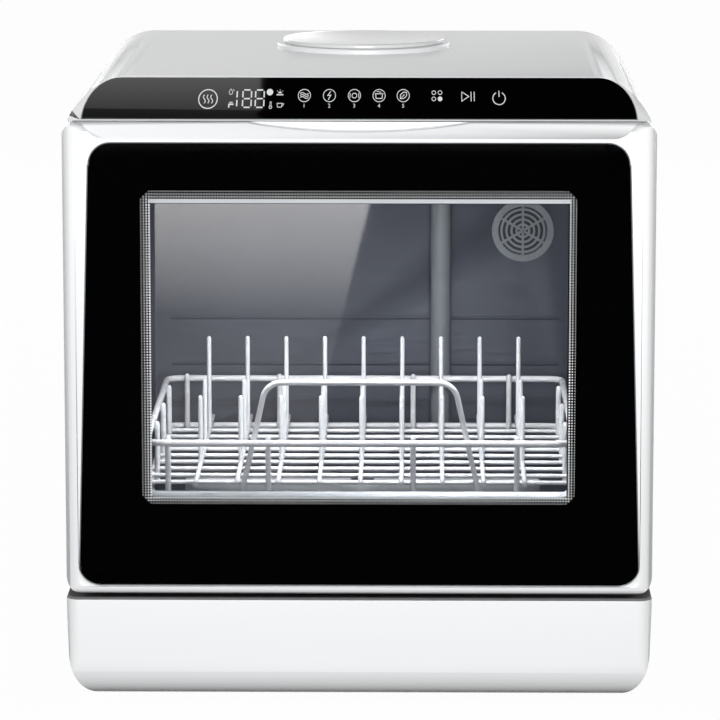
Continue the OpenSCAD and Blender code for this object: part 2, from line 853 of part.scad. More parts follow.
module riser_pipe() {
  bolt = 3;
  reach = riser_y - arm_y;
  elbow = top_pipe_r + 1;
  color(grey) difference() {
    union() {
      rod_z([riser_x, riser_y, tub_under - 20], top_pipe_z + elbow - tub_under + 20, riser_r);
      // Along the ceiling to the middle of the upper arm, with a clip to the tub's roof
      translate([0, arm_y, top_pipe_z]) rotate(-atan2(riser_x, reach)) {
        rod_y([0, 0, 0], norm([riser_x, reach]), top_pipe_r);
        block([-5, 20, 0], [5, 32, tub_top - top_pipe_z]);
      }
      rod_z([0, arm_y, top_pipe_z - elbow], 2 * elbow, elbow + 2);
      rod_z([0, arm_y, top_arm_z - 1], top_pipe_z - top_arm_z + 1, arm_pin_r);
      rod_z([0, arm_y, top_arm_z - bolt - sit], bolt, arm_pin_r + 3);
    }
    rod_z([riser_x, riser_y, tub_under - 21], 60, riser_r - 2);
  }
}

// ---- Pumps, heater and electrics in the base ----

module wash_pump() {
  color(dark) {
    difference() {
      union() {
        rod_x([pump_x - 15, pump_y, pump_z], 30, pump_r);
        rod_x([pump_x + 14, pump_y, pump_z], 11, 14);
        block([pump_x - 12, pump_y - 14, plate_top], [pump_x + 12, pump_y + 14, pump_z - 20]);
      }
      rod_x([pump_x - 12, pump_y, pump_z], 24, pump_r - 3);
      rod_x([pump_x, pump_y, pump_z], 40, 10);
      rod_x([pump_x - 20, pump_y, pump_z], 20, 4 + run);
    }
    difference() {
      rod_x([pump_x - 75, pump_y, pump_z], 60 - eps, 25);
      rod_x([pump_x - 40, pump_y, pump_z], 40, 4 + run);
    }
  }
}

// A pump or fan wheel: hub and blades turning about X, with its shaft
module wheel_x(p, r, t, blades, shaft_r, shaft_l) {
  translate(p) {
    rod_x([-shaft_l, 0, 0], shaft_l + t, shaft_r);
    rod_x([0, 0, 0], 2, r);
    for (i = [0 : blades - 1])
      rotate([i * 360 / blades, 0, 0]) translate([0, -1, 0]) cube([t, 2, r]);
  }
}

module wash_impeller() {
  color(white) wheel_x([pump_x - 10, pump_y, pump_z], pump_r - 6, 16, 6, 4, 25);
}

module drain_pump() {
  color(dark) {
    difference() {
      union() {
        rod_x([drain_x - 13, drain_y, drain_z], 26, drain_pump_r);
        block([drain_x - 10, drain_y - 10, plate_top], [drain_x + 10, drain_y + 10, drain_z - 12]);
      }
      rod_x([drain_x - 10, drain_y, drain_z], 20, drain_pump_r - 3);
      rod_x([drain_x - 16, drain_y, drain_z], 10, 6);
      rod_x([drain_x, drain_y, drain_z], 20, 2.5 + run);
      rod_y([drain_x, drain_y, drain_z], 40, drain_r - 2);
    }
    difference() {
      rod_x([drain_x + 13 + eps, drain_y, drain_z], 34, 16);
      rod_x([drain_x, drain_y, drain_z], 30, 2.5 + run);
    }
  }
}

module drain_impeller() {
  color(white) mirror([1, 0, 0]) wheel_x([-drain_x - 8, drain_y, drain_z], drain_pump_r - 6, 14, 4, 2.5, 18);
}

module drain_outlet() {
  start = drain_y + drain_pump_r + sit;
  root = port_y + relief;
  color(grey) difference() {
    union() {
      rod_y([drain_x, start, drain_z], root - start, drain_r - 1.2);
      rod_y([drain_x, root, drain_z], port_end - root, drain_r);
      rod_y([drain_x, port_y - shell - 3, drain_z], 3, drain_r + 5);
    }
    rod_y([drain_x, start - 1, drain_z], case_d, drain_r - 2.5);
  }
}

module inlet_valve() {
  body_y = port_y - shell - 34;
  color("#2b4f86") {
    difference() {
      union() {
        block([inlet_x - 17, body_y, plate_top], [inlet_x + 17, body_y + 34, drain_z + 18]);
        rod_y([inlet_x, body_y + 30, drain_z], port_y + relief - body_y - 30, inlet_r - 1.5);
        rod_y([inlet_x, port_y + relief, drain_z], port_end - port_y - relief, inlet_r);
      }
      rod_y([inlet_x, body_y + 20, drain_z], case_d, inlet_r - 4);
    }
  }
}

module heater() {
  y = arm_y - 62;
  color(steel) {
    rod_x([-20, y, plate_top + 22], 90, 16);
    block([-12, y - 12, plate_top], [-4, y + 12, plate_top + 12]);
    block([54, y - 12, plate_top], [62, y + 12, plate_top + 12]);
  }
  color(wire) for (x = [-5, 50])
    rod_z([x, y, plate_top + 36], 12, 3);
}

module power_board() {
  color(dark) difference() {
    block([-130, arm_y - 120, plate_top], [-35, arm_y - 30, plate_top + 32]);
    block([-127, arm_y - 117, plate_top + 3], [-38, arm_y - 33, plate_top + 33]);
  }
  color("#1d5a3a") block([-126, arm_y - 116, plate_top + 3], [-39, arm_y - 34, plate_top + 5]);
  color(grey) {
    block([-117, arm_y - 108, plate_top + 5], [-93, arm_y - 86, plate_top + 24]);
    block([-81, arm_y - 100, plate_top + 5], [-57, arm_y - 82, plate_top + 18]);
  }
}

module cord_gland() {
  color(rubber) difference() {
    union() {
      rod_y([-150, yb - shell - 4, drain_z], shell + 4, 7);
      rod_y([-150, yb - shell - 3, drain_z], 3, 10);
    }
    rod_y([-150, yb - 20, drain_z], 30, 3.4);
  }
}

module float_post() {
  color(grey) {
    rod_z([float_x, float_y, plate_top], 26, 3);
    block([float_x - 12, float_y - 8, plate_top + 26], [float_x + 12, float_y + 8, plate_top + 38]);
  }
}

module leak_float() {
  color("#e9e9e6") difference() {
    rod_z([float_x, float_y, plate_top + sit], 12, 17);
    rod_z([float_x, float_y, plate_top - 1], 20, 3 + run);
  }
}

// ---- Drying fan ----

module fan_housing() {
  big = fan_r + fan_gap + fan_wall;
  shaft_r = 3;
  color(dark) difference() {
    union() {
      difference() {
        rod_y([fan_x, tub_rear, fan_z], fan_d, big);
        rod_y([fan_x, tub_rear + 3, fan_z], fan_d, big - fan_wall);
        rod_y([fan_x, tub_rear - 1, fan_z], 10, 18);
      }
      rod_y([fan_x, tub_rear + fan_d - 5, fan_z], 5, 11);
      for (t = [30, 150, 270])
        translate([fan_x, 0, fan_z]) rotate([0, t, 0])
          block([0, tub_rear + fan_d - 4, -2], [big - 1, tub_rear + fan_d, 2]);
    }
    rod_y([fan_x, tub_rear + 10, fan_z], 60, shaft_r + run);
  }
}

module fan_rotor() {
  t = 16;
  y0 = tub_rear + 7;
  color("#dfe2e4") {
    rod_y([fan_x, y0, fan_z], t, 9);
    rod_y([fan_x, y0, fan_z], fan_d - 8, 3);
    for (i = [0 : 6])
      translate([fan_x, y0, fan_z]) rotate([0, i * 360 / 7, 0]) rotate([0, 0, 18])
        block([4, 2, -1], [fan_r - 3, 4, 10]);
  }
}

// ---- Latch ----

module latch_housing() {
  color(dark) difference() {
    block([-22, frame_back, tongue_z - 6], [22, frame_back + 26, tongue_z + 9]);
    block([-12.5, frame_back - 1, tongue_z - 4.5], [12.5, tongue_end + 1, tongue_z + 6.5]);
  }
}

module latch_tongue() {
  color(steel) difference() {
    union() {
      block([-10, door_in, tongue_z - 1.5], [10, tongue_end, tongue_z + 1.5]);
      block([-16, door_in, tongue_z - 4], [16, door_in + 1.2, tongue_z + 4]);
    }
    block([-6, frame_back + 1, tongue_z - 4], [6, tongue_end - 3, tongue_z + 4]);
  }
}

// ---- Hinges ----

module hinge_brackets() {
  color(steel) both_sides() difference() {
    union() {
      block([arm_x - arm_t / 2, hinge_y, hinge_z - arm_half], [arm_x + arm_t / 2, frame_back + 1, hinge_z + arm_half]);
      rod_x([arm_x - arm_t / 2, hinge_y, hinge_z], arm_t, knuckle_r);
      block([arm_x - 13, frame_back, plinth_top], [arm_x + 13, frame_back + 3, hinge_z + 22]);
    }
    rod_x([arm_x - 10, hinge_y, hinge_z], 20, hinge_pin_r + run);
  }
}

module hinge_pins() {
  color(steel) both_sides()
    rod_x([arm_x - hinge_block_hw + 1, hinge_y, hinge_z], 2 * hinge_block_hw - 2, hinge_pin_r);
}

// ---- Door ----

// Outline of the front glass, grown by grow
module glass_outline(grow) {
  slope = (glass_low_hw - glass_top_hw) / (glass_z1 - glass_z0);
  lean = atan(slope);
  difference() {
    translate([-hw, glass_z0 - grow]) square([case_w, glass_z1 - glass_z0 + 2 * grow]);
    for (side = [0, 1]) mirror([side, 0]) {
      translate([glass_low_hw + grow / cos(lean), glass_z0]) rotate(lean)
        translate([0, -50]) square([80, 600]);
      translate([glass_low_hw + grow, glass_z0 - grow]) corner_cut([0, 0], 90, glass_low_r);
      translate([glass_top_hw + grow, glass_z1 + grow]) corner_cut([0, 0], 180, glass_top_r);
    }
  }
}

module window_rect(grow, r) {
  round_rect([-window_hw - grow, window_z0 - grow], [window_hw + grow, window_z1 + grow], [r, r, r, r]);
}

module door_form() {
  edge = 8;
  intersection() {
    along_y(yf, door_in)
      round_rect([-hw, door_z0], [hw, door_z1], [door_low_r, door_low_r, door_top_r, door_top_r]);
    along_x(-far, far) round_rect([yf, door_z0], [door_in, door_z1], [edge, 0, 0, 5]);
    linear_extrude(far) round_rect([-hw, yf], [hw, door_in], [front_edge_r, front_edge_r, 0, 0]);
  }
}

// What the sloped band takes away along the door's upper edge
module band_cut() {
  translate([0, yf, door_z1 - band_h]) rotate([atan2(band_h, band_in), 0, 0])
    linear_extrude(door_t)
      round_rect([-hw + band_side, 0], [hw - band_side, 2 * band_r], [band_r, band_r, 0, 0]);
}

// Space for the hinge arm while the door swings
module hinge_notch() {
  block([arm_x - notch_hw, hinge_y - knuckle_r - 1, door_z0 - 1],
    [arm_x + notch_hw, door_in + 1, hinge_z + knuckle_r + 1]);
}

module door_frame() {
  arc_r = (grip_hw * grip_hw + grip_drop * grip_drop) / (2 * grip_drop);
  color(white) difference() {
    door_form();
    band_cut();
    // Seat of the front glass
    along_y(yf - 1, mask_back) glass_outline(sit);
    along_y(yf, door_in) window_rect(pane_lap, 4);
    // Hollow behind the face, keeping the hinge blocks
    difference() {
      along_y(door_face_back, door_in + 1)
        round_rect([-hw + 6, door_z0 + 6], [hw - 6, door_z1 - cavity_drop], [8, 8, 8, 8]);
      both_sides() {
        block([arm_x - hinge_block_hw, yf, door_z0], [hw, liner_front, door_z0 + hinge_block_h]);
        for (z = door_screw_z)
          rod_y([door_screw_x, mask_back, z], liner_front - mask_back, 4);
      }
    }
    both_sides() for (z = door_screw_z)
      rod_y([door_screw_x, liner_front - 8, z], 10, 1.5 + run);
    // Rebate of the inner panel
    along_y(liner_front, door_in + 1)
      round_rect([-hw + rebate, door_z0 + rebate], [hw - rebate, door_z1 - rebate],
        [rebate_low_r, rebate_low_r, rebate_top_r, rebate_top_r]);
    both_sides() {
      hinge_notch();
      rod_x([arm_x - hinge_block_hw, hinge_y, hinge_z], 2 * hinge_block_hw, hinge_pin_r + run);
    }
    // Finger grip in the upper edge
    rod_y([0, yf - 1, door_z1 - grip_drop + arc_r], grip_in + 1, arc_r);
  }
}

module door_glass() {
  color([0.05, 0.05, 0.06, 0.35]) along_y(glass_front, glass_back) glass_outline(0);
}

module glass_mask() {
  color(black) along_y(glass_back, mask_back) difference() {
    glass_outline(0);
    window_rect(0, 2);
  }
}

module door_liner() {
  edge = rebate + sit;
  low_r = rebate_low_r - sit;
  top_r = rebate_top_r - sit;
  color(steel) difference() {
    along_y(liner_front, door_in) difference() {
      round_rect([-hw + edge, door_z0 + edge], [hw - edge, door_z1 - edge], [low_r, low_r, top_r, top_r]);
      window_rect(2, 4);
    }
    both_sides() hinge_notch();
    both_sides() for (z = door_screw_z)
      rod_y([door_screw_x, liner_front - 1, z], 5, 1.5 + run);
  }
}

module inner_window() {
  color([0.6, 0.65, 0.7, 0.3]) along_y(pane_front, liner_front) window_rect(pane_lap + tunnel_wall - 3, 4);
}

module window_seal() {
  color(dark) along_y(door_face_back, pane_front) difference() {
    window_rect(pane_lap + tunnel_wall, 6);
    window_rect(pane_lap, 4);
  }
}

module door_screws() {
  color(steel) both_sides() for (z = door_screw_z) {
    rod_y([door_screw_x, liner_front - 6, z], 6 + liner_t, 1.5);
    rod_y([door_screw_x, door_in, z], 1, 3);
  }
}

// ---- Basket ----

// A closed frame of wire at height z: four straight wires and four bends
module wire_frame(z, r) {
  x = rack_hw;
  c = rack_corner;
  gap = 0.05;
  rod_x([-x + c + gap, rack_y0, z], 2 * (x - c - gap), r);
  rod_x([-x + c + gap, rack_y1, z], 2 * (x - c - gap), r);
  both_sides() {
    rod_y([x, rack_y0 + c + gap, z], rack_y1 - rack_y0 - 2 * (c + gap), r);
    bend([x - c, rack_y0 + c, z], 270, c, r);
    bend([x - c, rack_y1 - c, z], 0, c, r);
  }
}

module basket_top_wires() {
  color(wire) wire_frame(rack_top, wire_r);
}

module basket_low_wires() {
  color(wire) wire_frame(rack_low, wire_r);
}

module basket_floor_wires() {
  rows = floor((rack_y1 - 20 - cross_y0) / cross_pitch);
  color(wire) {
    for (i = [0 : rows])
      rod_x([-rack_hw, cross_y0 + i * cross_pitch, floor_wire_z], 2 * rack_hw, thin_r);
    for (x = [-120 : 30 : 120])
      rod_y([x, rack_y0, long_wire_z], rack_y1 - rack_y0, thin_r);
  }
}

module basket_posts() {
  h = rack_rise + 4;
  side_x = rack_hw - wire_r - post_r - eps;
  color(wire) {
    for (x = post_x) {
      rod_z([x, post_y, rack_low - 2], h, post_r);
      rod_z([x, rack_y1 - wire_r - post_r - eps, rack_low - 2], h, post_r);
    }
    both_sides() for (i = [1.5, 4.5, 7.5])
      rod_z([side_x, cross_y0 + i * cross_pitch, rack_low - 2], h, post_r);
  }
}

module basket_arch() {
  corner = 14;
  top = rack_low + arch_rise;
  gap = 0.05;
  lean = atan2(arch_foot_hw - arch_hw - corner, arch_rise - corner);
  foot_l = (arch_rise - corner) / cos(lean);
  color(wire) {
    rod_x([-arch_hw + gap, post_y, top], 2 * (arch_hw - gap), post_r);
    both_sides() {
      translate([arch_hw, post_y, top - corner]) rotate([90, 0, 0])
        rotate([0, 0, lean]) rotate_extrude(angle = 90 - lean) translate([corner, 0]) circle(post_r);
      translate([arch_hw + corner * cos(lean), post_y, top - corner + corner * sin(lean)])
        rotate([0, 180 - lean, 0]) translate([0, 0, gap]) cylinder(r = post_r, h = foot_l + corner * sin(lean) - gap);
    }
  }
}

module basket_tines() {
  base = long_wire_z + thin_r + eps;
  color(wire) for (x = [-120 : 30 : 120], y = [rack_y0 + 80, rack_y0 + 150, rack_y0 + 220])
    rod_z([x, y, base], y > rack_y0 + 200 ? 70 : 48, thin_r);
}

module roller_brackets() {
  plate_x = rack_hw - 2.4;
  color(grey) both_sides() for (y = [front_roller_y, rear_roller_y]) {
    block([plate_x, y - 6, roller_z - 6], [rack_hw + wire_r, y + 6, rack_low - wire_r]);
    rod_x([rack_hw, y, roller_z], roller_x + roller_w + 1 - rack_hw, axle_r);
  }
}

module roller_pair(y) {
  color(dark) both_sides() difference() {
    rod_x([roller_x, y, roller_z], roller_w, roller_r);
    rod_x([roller_x - 1, y, roller_z], roller_w + 2, axle_r + run);
  }
}

module front_rollers() {
  roller_pair(front_roller_y);
}

module rear_rollers() {
  roller_pair(rear_roller_y);
}

plinth();
base_plate();
feet();
left_side_panel();
right_side_panel();
back_panel();
front_frame();
top_cover();
tub_shell();
tub_seal();
tub_legs();
basket_tracks();
sump();
filter_plate();
heater();
wash_pump();
drain_pump();
inlet_valve();
drain_outlet();
water_tank();
fill_duct();
fill_collar();
control_glass();
control_board();
leak_float();
riser_pipe();
spray_hub();
fan_housing();
latch_housing();
hinge_brackets();
power_board();
cord_gland();
float_post();
case_screws();
door_frame();
door_glass();
glass_mask();
door_liner();
inner_window();
window_seal();
door_screws();
latch_tongue();
hinge_pins();
fill_cap();
cap_seal();
basket_top_wires();
basket_low_wires();
basket_floor_wires();
basket_posts();
basket_arch();
basket_tines();
roller_brackets();
front_rollers();
rear_rollers();
lower_spray_arm();
upper_spray_arm();
filter_cup();
wash_impeller();
drain_impeller();
fan_rotor();
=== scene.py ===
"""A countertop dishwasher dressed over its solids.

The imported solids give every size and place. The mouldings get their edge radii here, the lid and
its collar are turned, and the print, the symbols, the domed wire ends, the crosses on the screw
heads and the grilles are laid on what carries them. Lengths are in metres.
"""

import json
import math

import bmesh
import bpy
from mathutils import Matrix, Vector

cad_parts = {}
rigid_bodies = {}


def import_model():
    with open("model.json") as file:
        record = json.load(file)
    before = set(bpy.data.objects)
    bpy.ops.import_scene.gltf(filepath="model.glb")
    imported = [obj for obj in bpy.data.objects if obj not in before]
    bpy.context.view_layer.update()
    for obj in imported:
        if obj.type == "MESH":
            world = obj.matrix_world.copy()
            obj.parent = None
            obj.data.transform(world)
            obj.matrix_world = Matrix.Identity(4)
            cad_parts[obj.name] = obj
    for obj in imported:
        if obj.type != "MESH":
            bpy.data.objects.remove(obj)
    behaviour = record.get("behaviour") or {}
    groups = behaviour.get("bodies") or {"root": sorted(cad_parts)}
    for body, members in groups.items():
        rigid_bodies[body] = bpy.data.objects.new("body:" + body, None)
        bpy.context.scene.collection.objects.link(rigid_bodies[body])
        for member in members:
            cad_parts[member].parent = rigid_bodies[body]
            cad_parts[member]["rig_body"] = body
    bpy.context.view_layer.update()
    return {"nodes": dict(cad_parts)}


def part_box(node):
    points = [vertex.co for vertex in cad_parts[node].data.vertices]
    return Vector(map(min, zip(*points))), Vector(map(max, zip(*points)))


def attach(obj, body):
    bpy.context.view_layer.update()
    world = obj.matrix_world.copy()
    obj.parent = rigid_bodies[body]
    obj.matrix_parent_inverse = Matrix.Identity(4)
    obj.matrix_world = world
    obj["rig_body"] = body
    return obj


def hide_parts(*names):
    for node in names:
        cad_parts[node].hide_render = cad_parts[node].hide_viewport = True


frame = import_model()
nodes = frame["nodes"]

MM = 0.001


# ---- Materials ----


def linear(hex_colour):
    """A colour written as sRGB hex, in the linear values that Blender takes."""
    parts = [int(hex_colour[i : i + 2], 16) / 255 for i in (1, 3, 5)]
    return [c / 12.92 if c <= 0.04045 else ((c + 0.055) / 1.055) ** 2.4 for c in parts] + [1.0]


def add(tree, kind, inputs=None, **settings):
    """Adds a shader node with its settings. An input is a value, or a node and its output."""
    made = tree.nodes.new("ShaderNode" + kind)
    for name, value in settings.items():
        setattr(made, name, value)
    for socket, value in (inputs or {}).items():
        if isinstance(value, tuple) and isinstance(value[0], bpy.types.Node):
            tree.links.new(value[0].outputs[value[1]], made.inputs[socket])
        else:
            made.inputs[socket].default_value = value
    return made


def empty_material(name):
    """A material without nodes, and its node tree."""
    material = bpy.data.materials.new(name)
    material.use_nodes = True
    material.node_tree.nodes.clear()
    return material, material.node_tree


def pattern(tree, size, detail=2.0, stretch=(1.0, 1.0, 1.0)):
    """Noise whose blobs are about one size across, longer along an axis with a small stretch."""
    place = add(tree, "TexCoord")
    turned = add(tree, "Mapping", {"Vector": (place, "Object"), "Scale": stretch})
    return add(
        tree,
        "TexNoise",
        {"Vector": (turned, 0), "Scale": 1 / size, "Detail": detail, "Roughness": 0.5},
    )


def spread(tree, source, low, high):
    """Brings a pattern from 0.3-0.7 to the range low-high."""
    return add(
        tree,
        "MapRange",
        {"Value": (source, "Fac"), "From Min": 0.3, "From Max": 0.7, "To Min": low, "To Max": high},
    )


def mixed_colours(tree, share, colour, other):
    """Mixes two hex colours by a node's first output, and gives its result as output 2."""
    inputs = {0: (share, 0), 6: linear(colour), 7: linear(other)}
    return add(tree, "Mix", inputs, data_type="RGBA")


def finish_material(
    name,
    colour,
    other=None,
    rough=(0.3, 0.4),
    grain=4 * MM,
    relief=0.02,
    relief_size=1 * MM,
    stretch=(1.0, 1.0, 1.0),
    **sockets,
):
    """A surface with a colour that drifts to another, uneven gloss and a fine relief."""
    material, tree = empty_material(name)
    drift = pattern(tree, grain * 6, detail=3.0, stretch=stretch)
    mix = spread(tree, drift, 0.0, 1.0)
    tint = mixed_colours(tree, mix, colour, other or colour)
    gloss = spread(tree, pattern(tree, grain, stretch=stretch), rough[0], rough[1])
    values = {"Base Color": (tint, 2), "Roughness": (gloss, 0)}
    if relief:
        fine = pattern(tree, relief_size, detail=1.0, stretch=stretch)
        bump = add(
            tree,
            "Bump",
            {"Height": (fine, "Fac"), "Strength": relief, "Distance": relief_size * 0.2},
        )
        values["Normal"] = (bump, 0)
    values.update(sockets)
    surface = add(tree, "BsdfPrincipled", values)
    add(tree, "OutputMaterial", {"Surface": (surface, 0)})
    return material


# Glossy moulded ABS: bright, with a soft highlight, its gloss a little uneven
gloss_abs = finish_material(
    "moulded_white_abs", "#f3f4f5", "#f2f3f4", rough=(0.26, 0.27), grain=30 * MM,
    relief=0.0, IOR=1.53,
)
# The same plastic on the lid, polished by its tool, its white written darker as painted shade
polished_shaded_abs = finish_material(
    "polished_white_abs_painted_shade", "#dfe0e1", "#dedfe0", rough=(0.17, 0.18), grain=30 * MM,
    relief=0.0, IOR=1.53,
)
# Spark-eroded ABS of the back panel: dull, with a grain of about a millimetre
grained_abs = finish_material(
    "grained_white_abs", "#e6e7e9", "#e1e2e5", rough=(0.45, 0.55), grain=6 * MM,
    relief=0.2, relief_size=1.1 * MM, IOR=1.53,
)
# Brushed stainless: streaks along X, bright but soft
brushed_steel = finish_material(
    "brushed_stainless_steel", "#b4b8bd", "#a4a9af", rough=(0.26, 0.38), grain=1.2 * MM,
    relief=0.12, relief_size=0.9 * MM, stretch=(0.05, 1.0, 1.0), Metallic=1.0,
)
# The tub's stainless: its colour darkened as painted shade for the tub's shadowed inside, and
# duller, with a cold tint
tub_steel = finish_material(
    "stainless_steel_painted_shade", "#555964", "#51555f", rough=(0.44, 0.52), grain=2 * MM,
    relief=0.03, relief_size=1.2 * MM, stretch=(0.06, 1.0, 1.0), Metallic=0.45,
)
# Zinc plate: pale, a little mottled
zinc_steel = finish_material(
    "zinc_plated_steel", "#b9bbbd", "#a9acb2", rough=(0.3, 0.5), grain=3 * MM,
    relief=0.06, relief_size=0.8 * MM, Metallic=1.0,
)
# Nylon-coated wire: silver grey with a smooth satin skin
coated_wire = finish_material(
    "nylon_coated_wire", "#e0e3e7", "#dbdee3", rough=(0.24, 0.28), grain=12 * MM,
    relief=0.0, Metallic=0.1,
)
# Moulded polypropylene: satin, waxy, with a fine grain
grey_polypropylene = finish_material(
    "grey_polypropylene", "#8d9298", "#858a90", rough=(0.4, 0.5), grain=5 * MM,
    relief=0.1, relief_size=0.8 * MM, IOR=1.49,
)
light_polypropylene = finish_material(
    "light_polypropylene", "#d3d6d9", "#c9cdd1", rough=(0.36, 0.46), grain=5 * MM,
    relief=0.08, relief_size=0.8 * MM, IOR=1.49,
)
dark_polypropylene = finish_material(
    "dark_polypropylene", "#33363b", "#2c2f34", rough=(0.38, 0.5), grain=5 * MM,
    relief=0.1, relief_size=0.8 * MM, IOR=1.49,
)
tank_polypropylene = finish_material(
    "milky_polypropylene", "#d4dde3", "#c7d2d9", rough=(0.34, 0.44), grain=14 * MM,
    relief=0.06, relief_size=1.5 * MM, IOR=1.49,
)
blue_nylon = finish_material(
    "blue_nylon", "#2f5592", "#294c85", rough=(0.36, 0.46), grain=5 * MM,
    relief=0.1, relief_size=0.8 * MM, IOR=1.53,
)
# Epoxy circuit board: green varnish over woven glass
board_epoxy = finish_material(
    "circuit_board_epoxy", "#1d5a3a", "#174a30", rough=(0.25, 0.4), grain=4 * MM,
    relief=0.15, relief_size=0.7 * MM, IOR=1.55,
)
# Soft rubber: dull, slightly dusty
soft_rubber = finish_material(
    "soft_rubber", "#45474b", "#3b3d41", rough=(0.6, 0.78), grain=4 * MM,
    relief=0.15, relief_size=0.7 * MM, IOR=1.52,
)
# The window's seal is the same rubber in a mid grey
grey_rubber = finish_material(
    "grey_rubber", "#7f8288", "#777a80", rough=(0.55, 0.7), grain=4 * MM,
    relief=0.1, relief_size=0.7 * MM, IOR=1.52,
)
# Painted shade for the gap under the door: a mid grey, quite dull, with a fine relief, laid on the
# plinth's ledge
painted_gap_shade = finish_material(
    "painted_gap_shade", "#757577", "#6a6a6c", rough=(0.85, 0.95), grain=2 * MM,
    relief=0.3, relief_size=0.6 * MM, IOR=1.5, **{"Specular IOR Level": 0.1},
)
# Black print fired on the back of the polished glass, seen through it
fired_print = finish_material(
    "black_fired_print", "#030303", "#020202", rough=(0.1, 0.14), grain=30 * MM,
    relief=0.0, IOR=1.5, **{"Specular IOR Level": 0.0},
)
# The control strip's glass: the same print under polished glass
strip_glass = finish_material(
    "black_printed_glass", "#030303", "#020202", rough=(0.03, 0.035), grain=30 * MM,
    relief=0.0, IOR=1.5, **{"Specular IOR Level": 0.5},
)
# The ground edge of a glass: matt grey where the polish ends
ground_edge = finish_material(
    "ground_glass_edge", "#7c8187", "#70757b", rough=(0.4, 0.5), grain=3 * MM,
    relief=0.1, relief_size=0.5 * MM, IOR=1.5,
)
# White screen print of the symbols and of the dots round the window
white_print = finish_material(
    "white_screen_print", "#f4f5f6", "#eceef0", rough=(0.4, 0.5), grain=4 * MM, relief=0.0,
)
# The print's pale line over the window, thinner than the symbols' print
pale_print = finish_material(
    "pale_screen_print", "#d9dce0", "#c4c8cf", rough=(0.4, 0.5), grain=40 * MM, relief=0.0,
)
# Painted shade of a cross-recessed screw's hollow: a near-black put on flat crosses that stand in
# for the recesses
recess_shadow = finish_material(
    "painted_recess_shade", "#2a2b2d", "#232426", rough=(0.5, 0.6), grain=1 * MM, relief=0.0,
)


def clear_glass(name, colour, alpha, metallic, rough, level):
    """Clear tempered glass, of which the eye sees a faint tint and what it mirrors."""
    return finish_material(
        name, colour, colour, rough=rough, grain=40 * MM, relief=0.0,
        IOR=1.5, Alpha=alpha, Metallic=metallic, **{"Specular IOR Level": level},
    )


front_glass = clear_glass("tempered_glass", "#0c0d0f", 0.1, 0.0, (0.02, 0.03), 0.5)
# The inner pane has a heat-holding film, which mirrors more than bare glass does
pane_glass = clear_glass("filmed_glass", "#c9d0d8", 0.14, 1.0, (0.03, 0.05), 0.5)

FINISHES = {
    gloss_abs: ["plinth", "left_side_panel", "right_side_panel", "front_frame", "top_cover",
                "fill_collar", "door_frame"],
    polished_shaded_abs: ["fill_cap"],
    grained_abs: ["back_panel"],
    brushed_steel: ["door_liner", "filter_plate", "latch_tongue"],
    tub_steel: ["tub_shell"],
    zinc_steel: ["base_plate", "hinge_brackets", "hinge_pins", "case_screws", "door_screws",
                 "heater"],
    coated_wire: ["basket_top_wires", "basket_low_wires", "basket_floor_wires",
                  "basket_posts", "basket_arch", "basket_tines"],
    grey_polypropylene: ["tub_legs", "basket_tracks", "riser_pipe", "spray_hub",
                         "roller_brackets", "fill_duct", "drain_outlet", "float_post",
                         "filter_cup"],
    light_polypropylene: ["lower_spray_arm", "upper_spray_arm", "wash_impeller",
                          "drain_impeller", "fan_rotor", "leak_float"],
    dark_polypropylene: ["sump", "wash_pump", "drain_pump", "fan_housing", "latch_housing",
                         "power_board", "front_rollers", "rear_rollers"],
    tank_polypropylene: ["water_tank"],
    blue_nylon: ["inlet_valve"],
    board_epoxy: ["control_board"],
    soft_rubber: ["feet", "tub_seal", "cap_seal", "cord_gland"],
    grey_rubber: ["window_seal"],
    fired_print: ["glass_mask"],
    strip_glass: ["control_glass"],
    front_glass: ["door_glass"],
    pane_glass: ["inner_window"],
}
FINISH = {name: material for material, names in FINISHES.items() for name in names}


def dress(name, material):
    """Gives a solid its material. The mesh stays as it is."""
    slots = nodes[name].material_slots
    if not slots:
        nodes[name].data.materials.append(material)
    for place in slots:
        place.material = material


for node_name, node_finish in FINISH.items():
    dress(node_name, node_finish)


# ---- Making pieces ----


def piece(name, mesh, material, body, replaced=(), smooth=30):
    """Turns a bmesh into a finished piece that rides on a body."""
    bmesh.ops.recalc_face_normals(mesh, faces=mesh.faces)
    data = bpy.data.meshes.new(name)
    mesh.to_mesh(data)
    mesh.free()
    data.materials.append(material)
    made = bpy.data.objects.new(name, data)
    bpy.context.scene.collection.objects.link(made)
    data.shade_smooth()
    data.set_sharp_from_angle(angle=math.radians(smooth))
    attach(made, body)
    if replaced:
        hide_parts(*replaced)
    return made


def merged(name):
    """A copy of a solid's mesh with its loose triangles joined and its flat faces whole."""
    mesh = bmesh.new()
    mesh.from_mesh(nodes[name].data)
    bmesh.ops.remove_doubles(mesh, verts=mesh.verts, dist=0.002 * MM)
    bmesh.ops.dissolve_limit(
        mesh, angle_limit=math.radians(0.4), verts=mesh.verts, edges=mesh.edges,
        use_dissolve_boundaries=False,
    )
    return mesh


SHARP = math.radians(32)


def soften(mesh, radius, segments=2, shortest=0.0):
    """Rounds the sharp edges over a shortest length, where two faces meet at a steep angle."""
    edges = [
        edge for edge in mesh.edges
        if len(edge.link_faces) == 2 and edge.calc_face_angle() > SHARP
        and edge.calc_length() > shortest
    ]
    bmesh.ops.bevel(
        mesh, geom=edges, offset=radius, offset_type="OFFSET", affect="EDGES",
        segments=segments, profile=0.5, material=-1, clamp_overlap=False, loop_slide=True,
    )


def moulded(name, radius, shortest=0.0):
    """A part with its solid's form and small radii on its edges over a shortest length."""
    mesh = merged(name)
    soften(mesh, radius, shortest=shortest)
    body = nodes[name]["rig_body"]
    return piece(name + "_moulding", mesh, FINISH[name], body, [name])


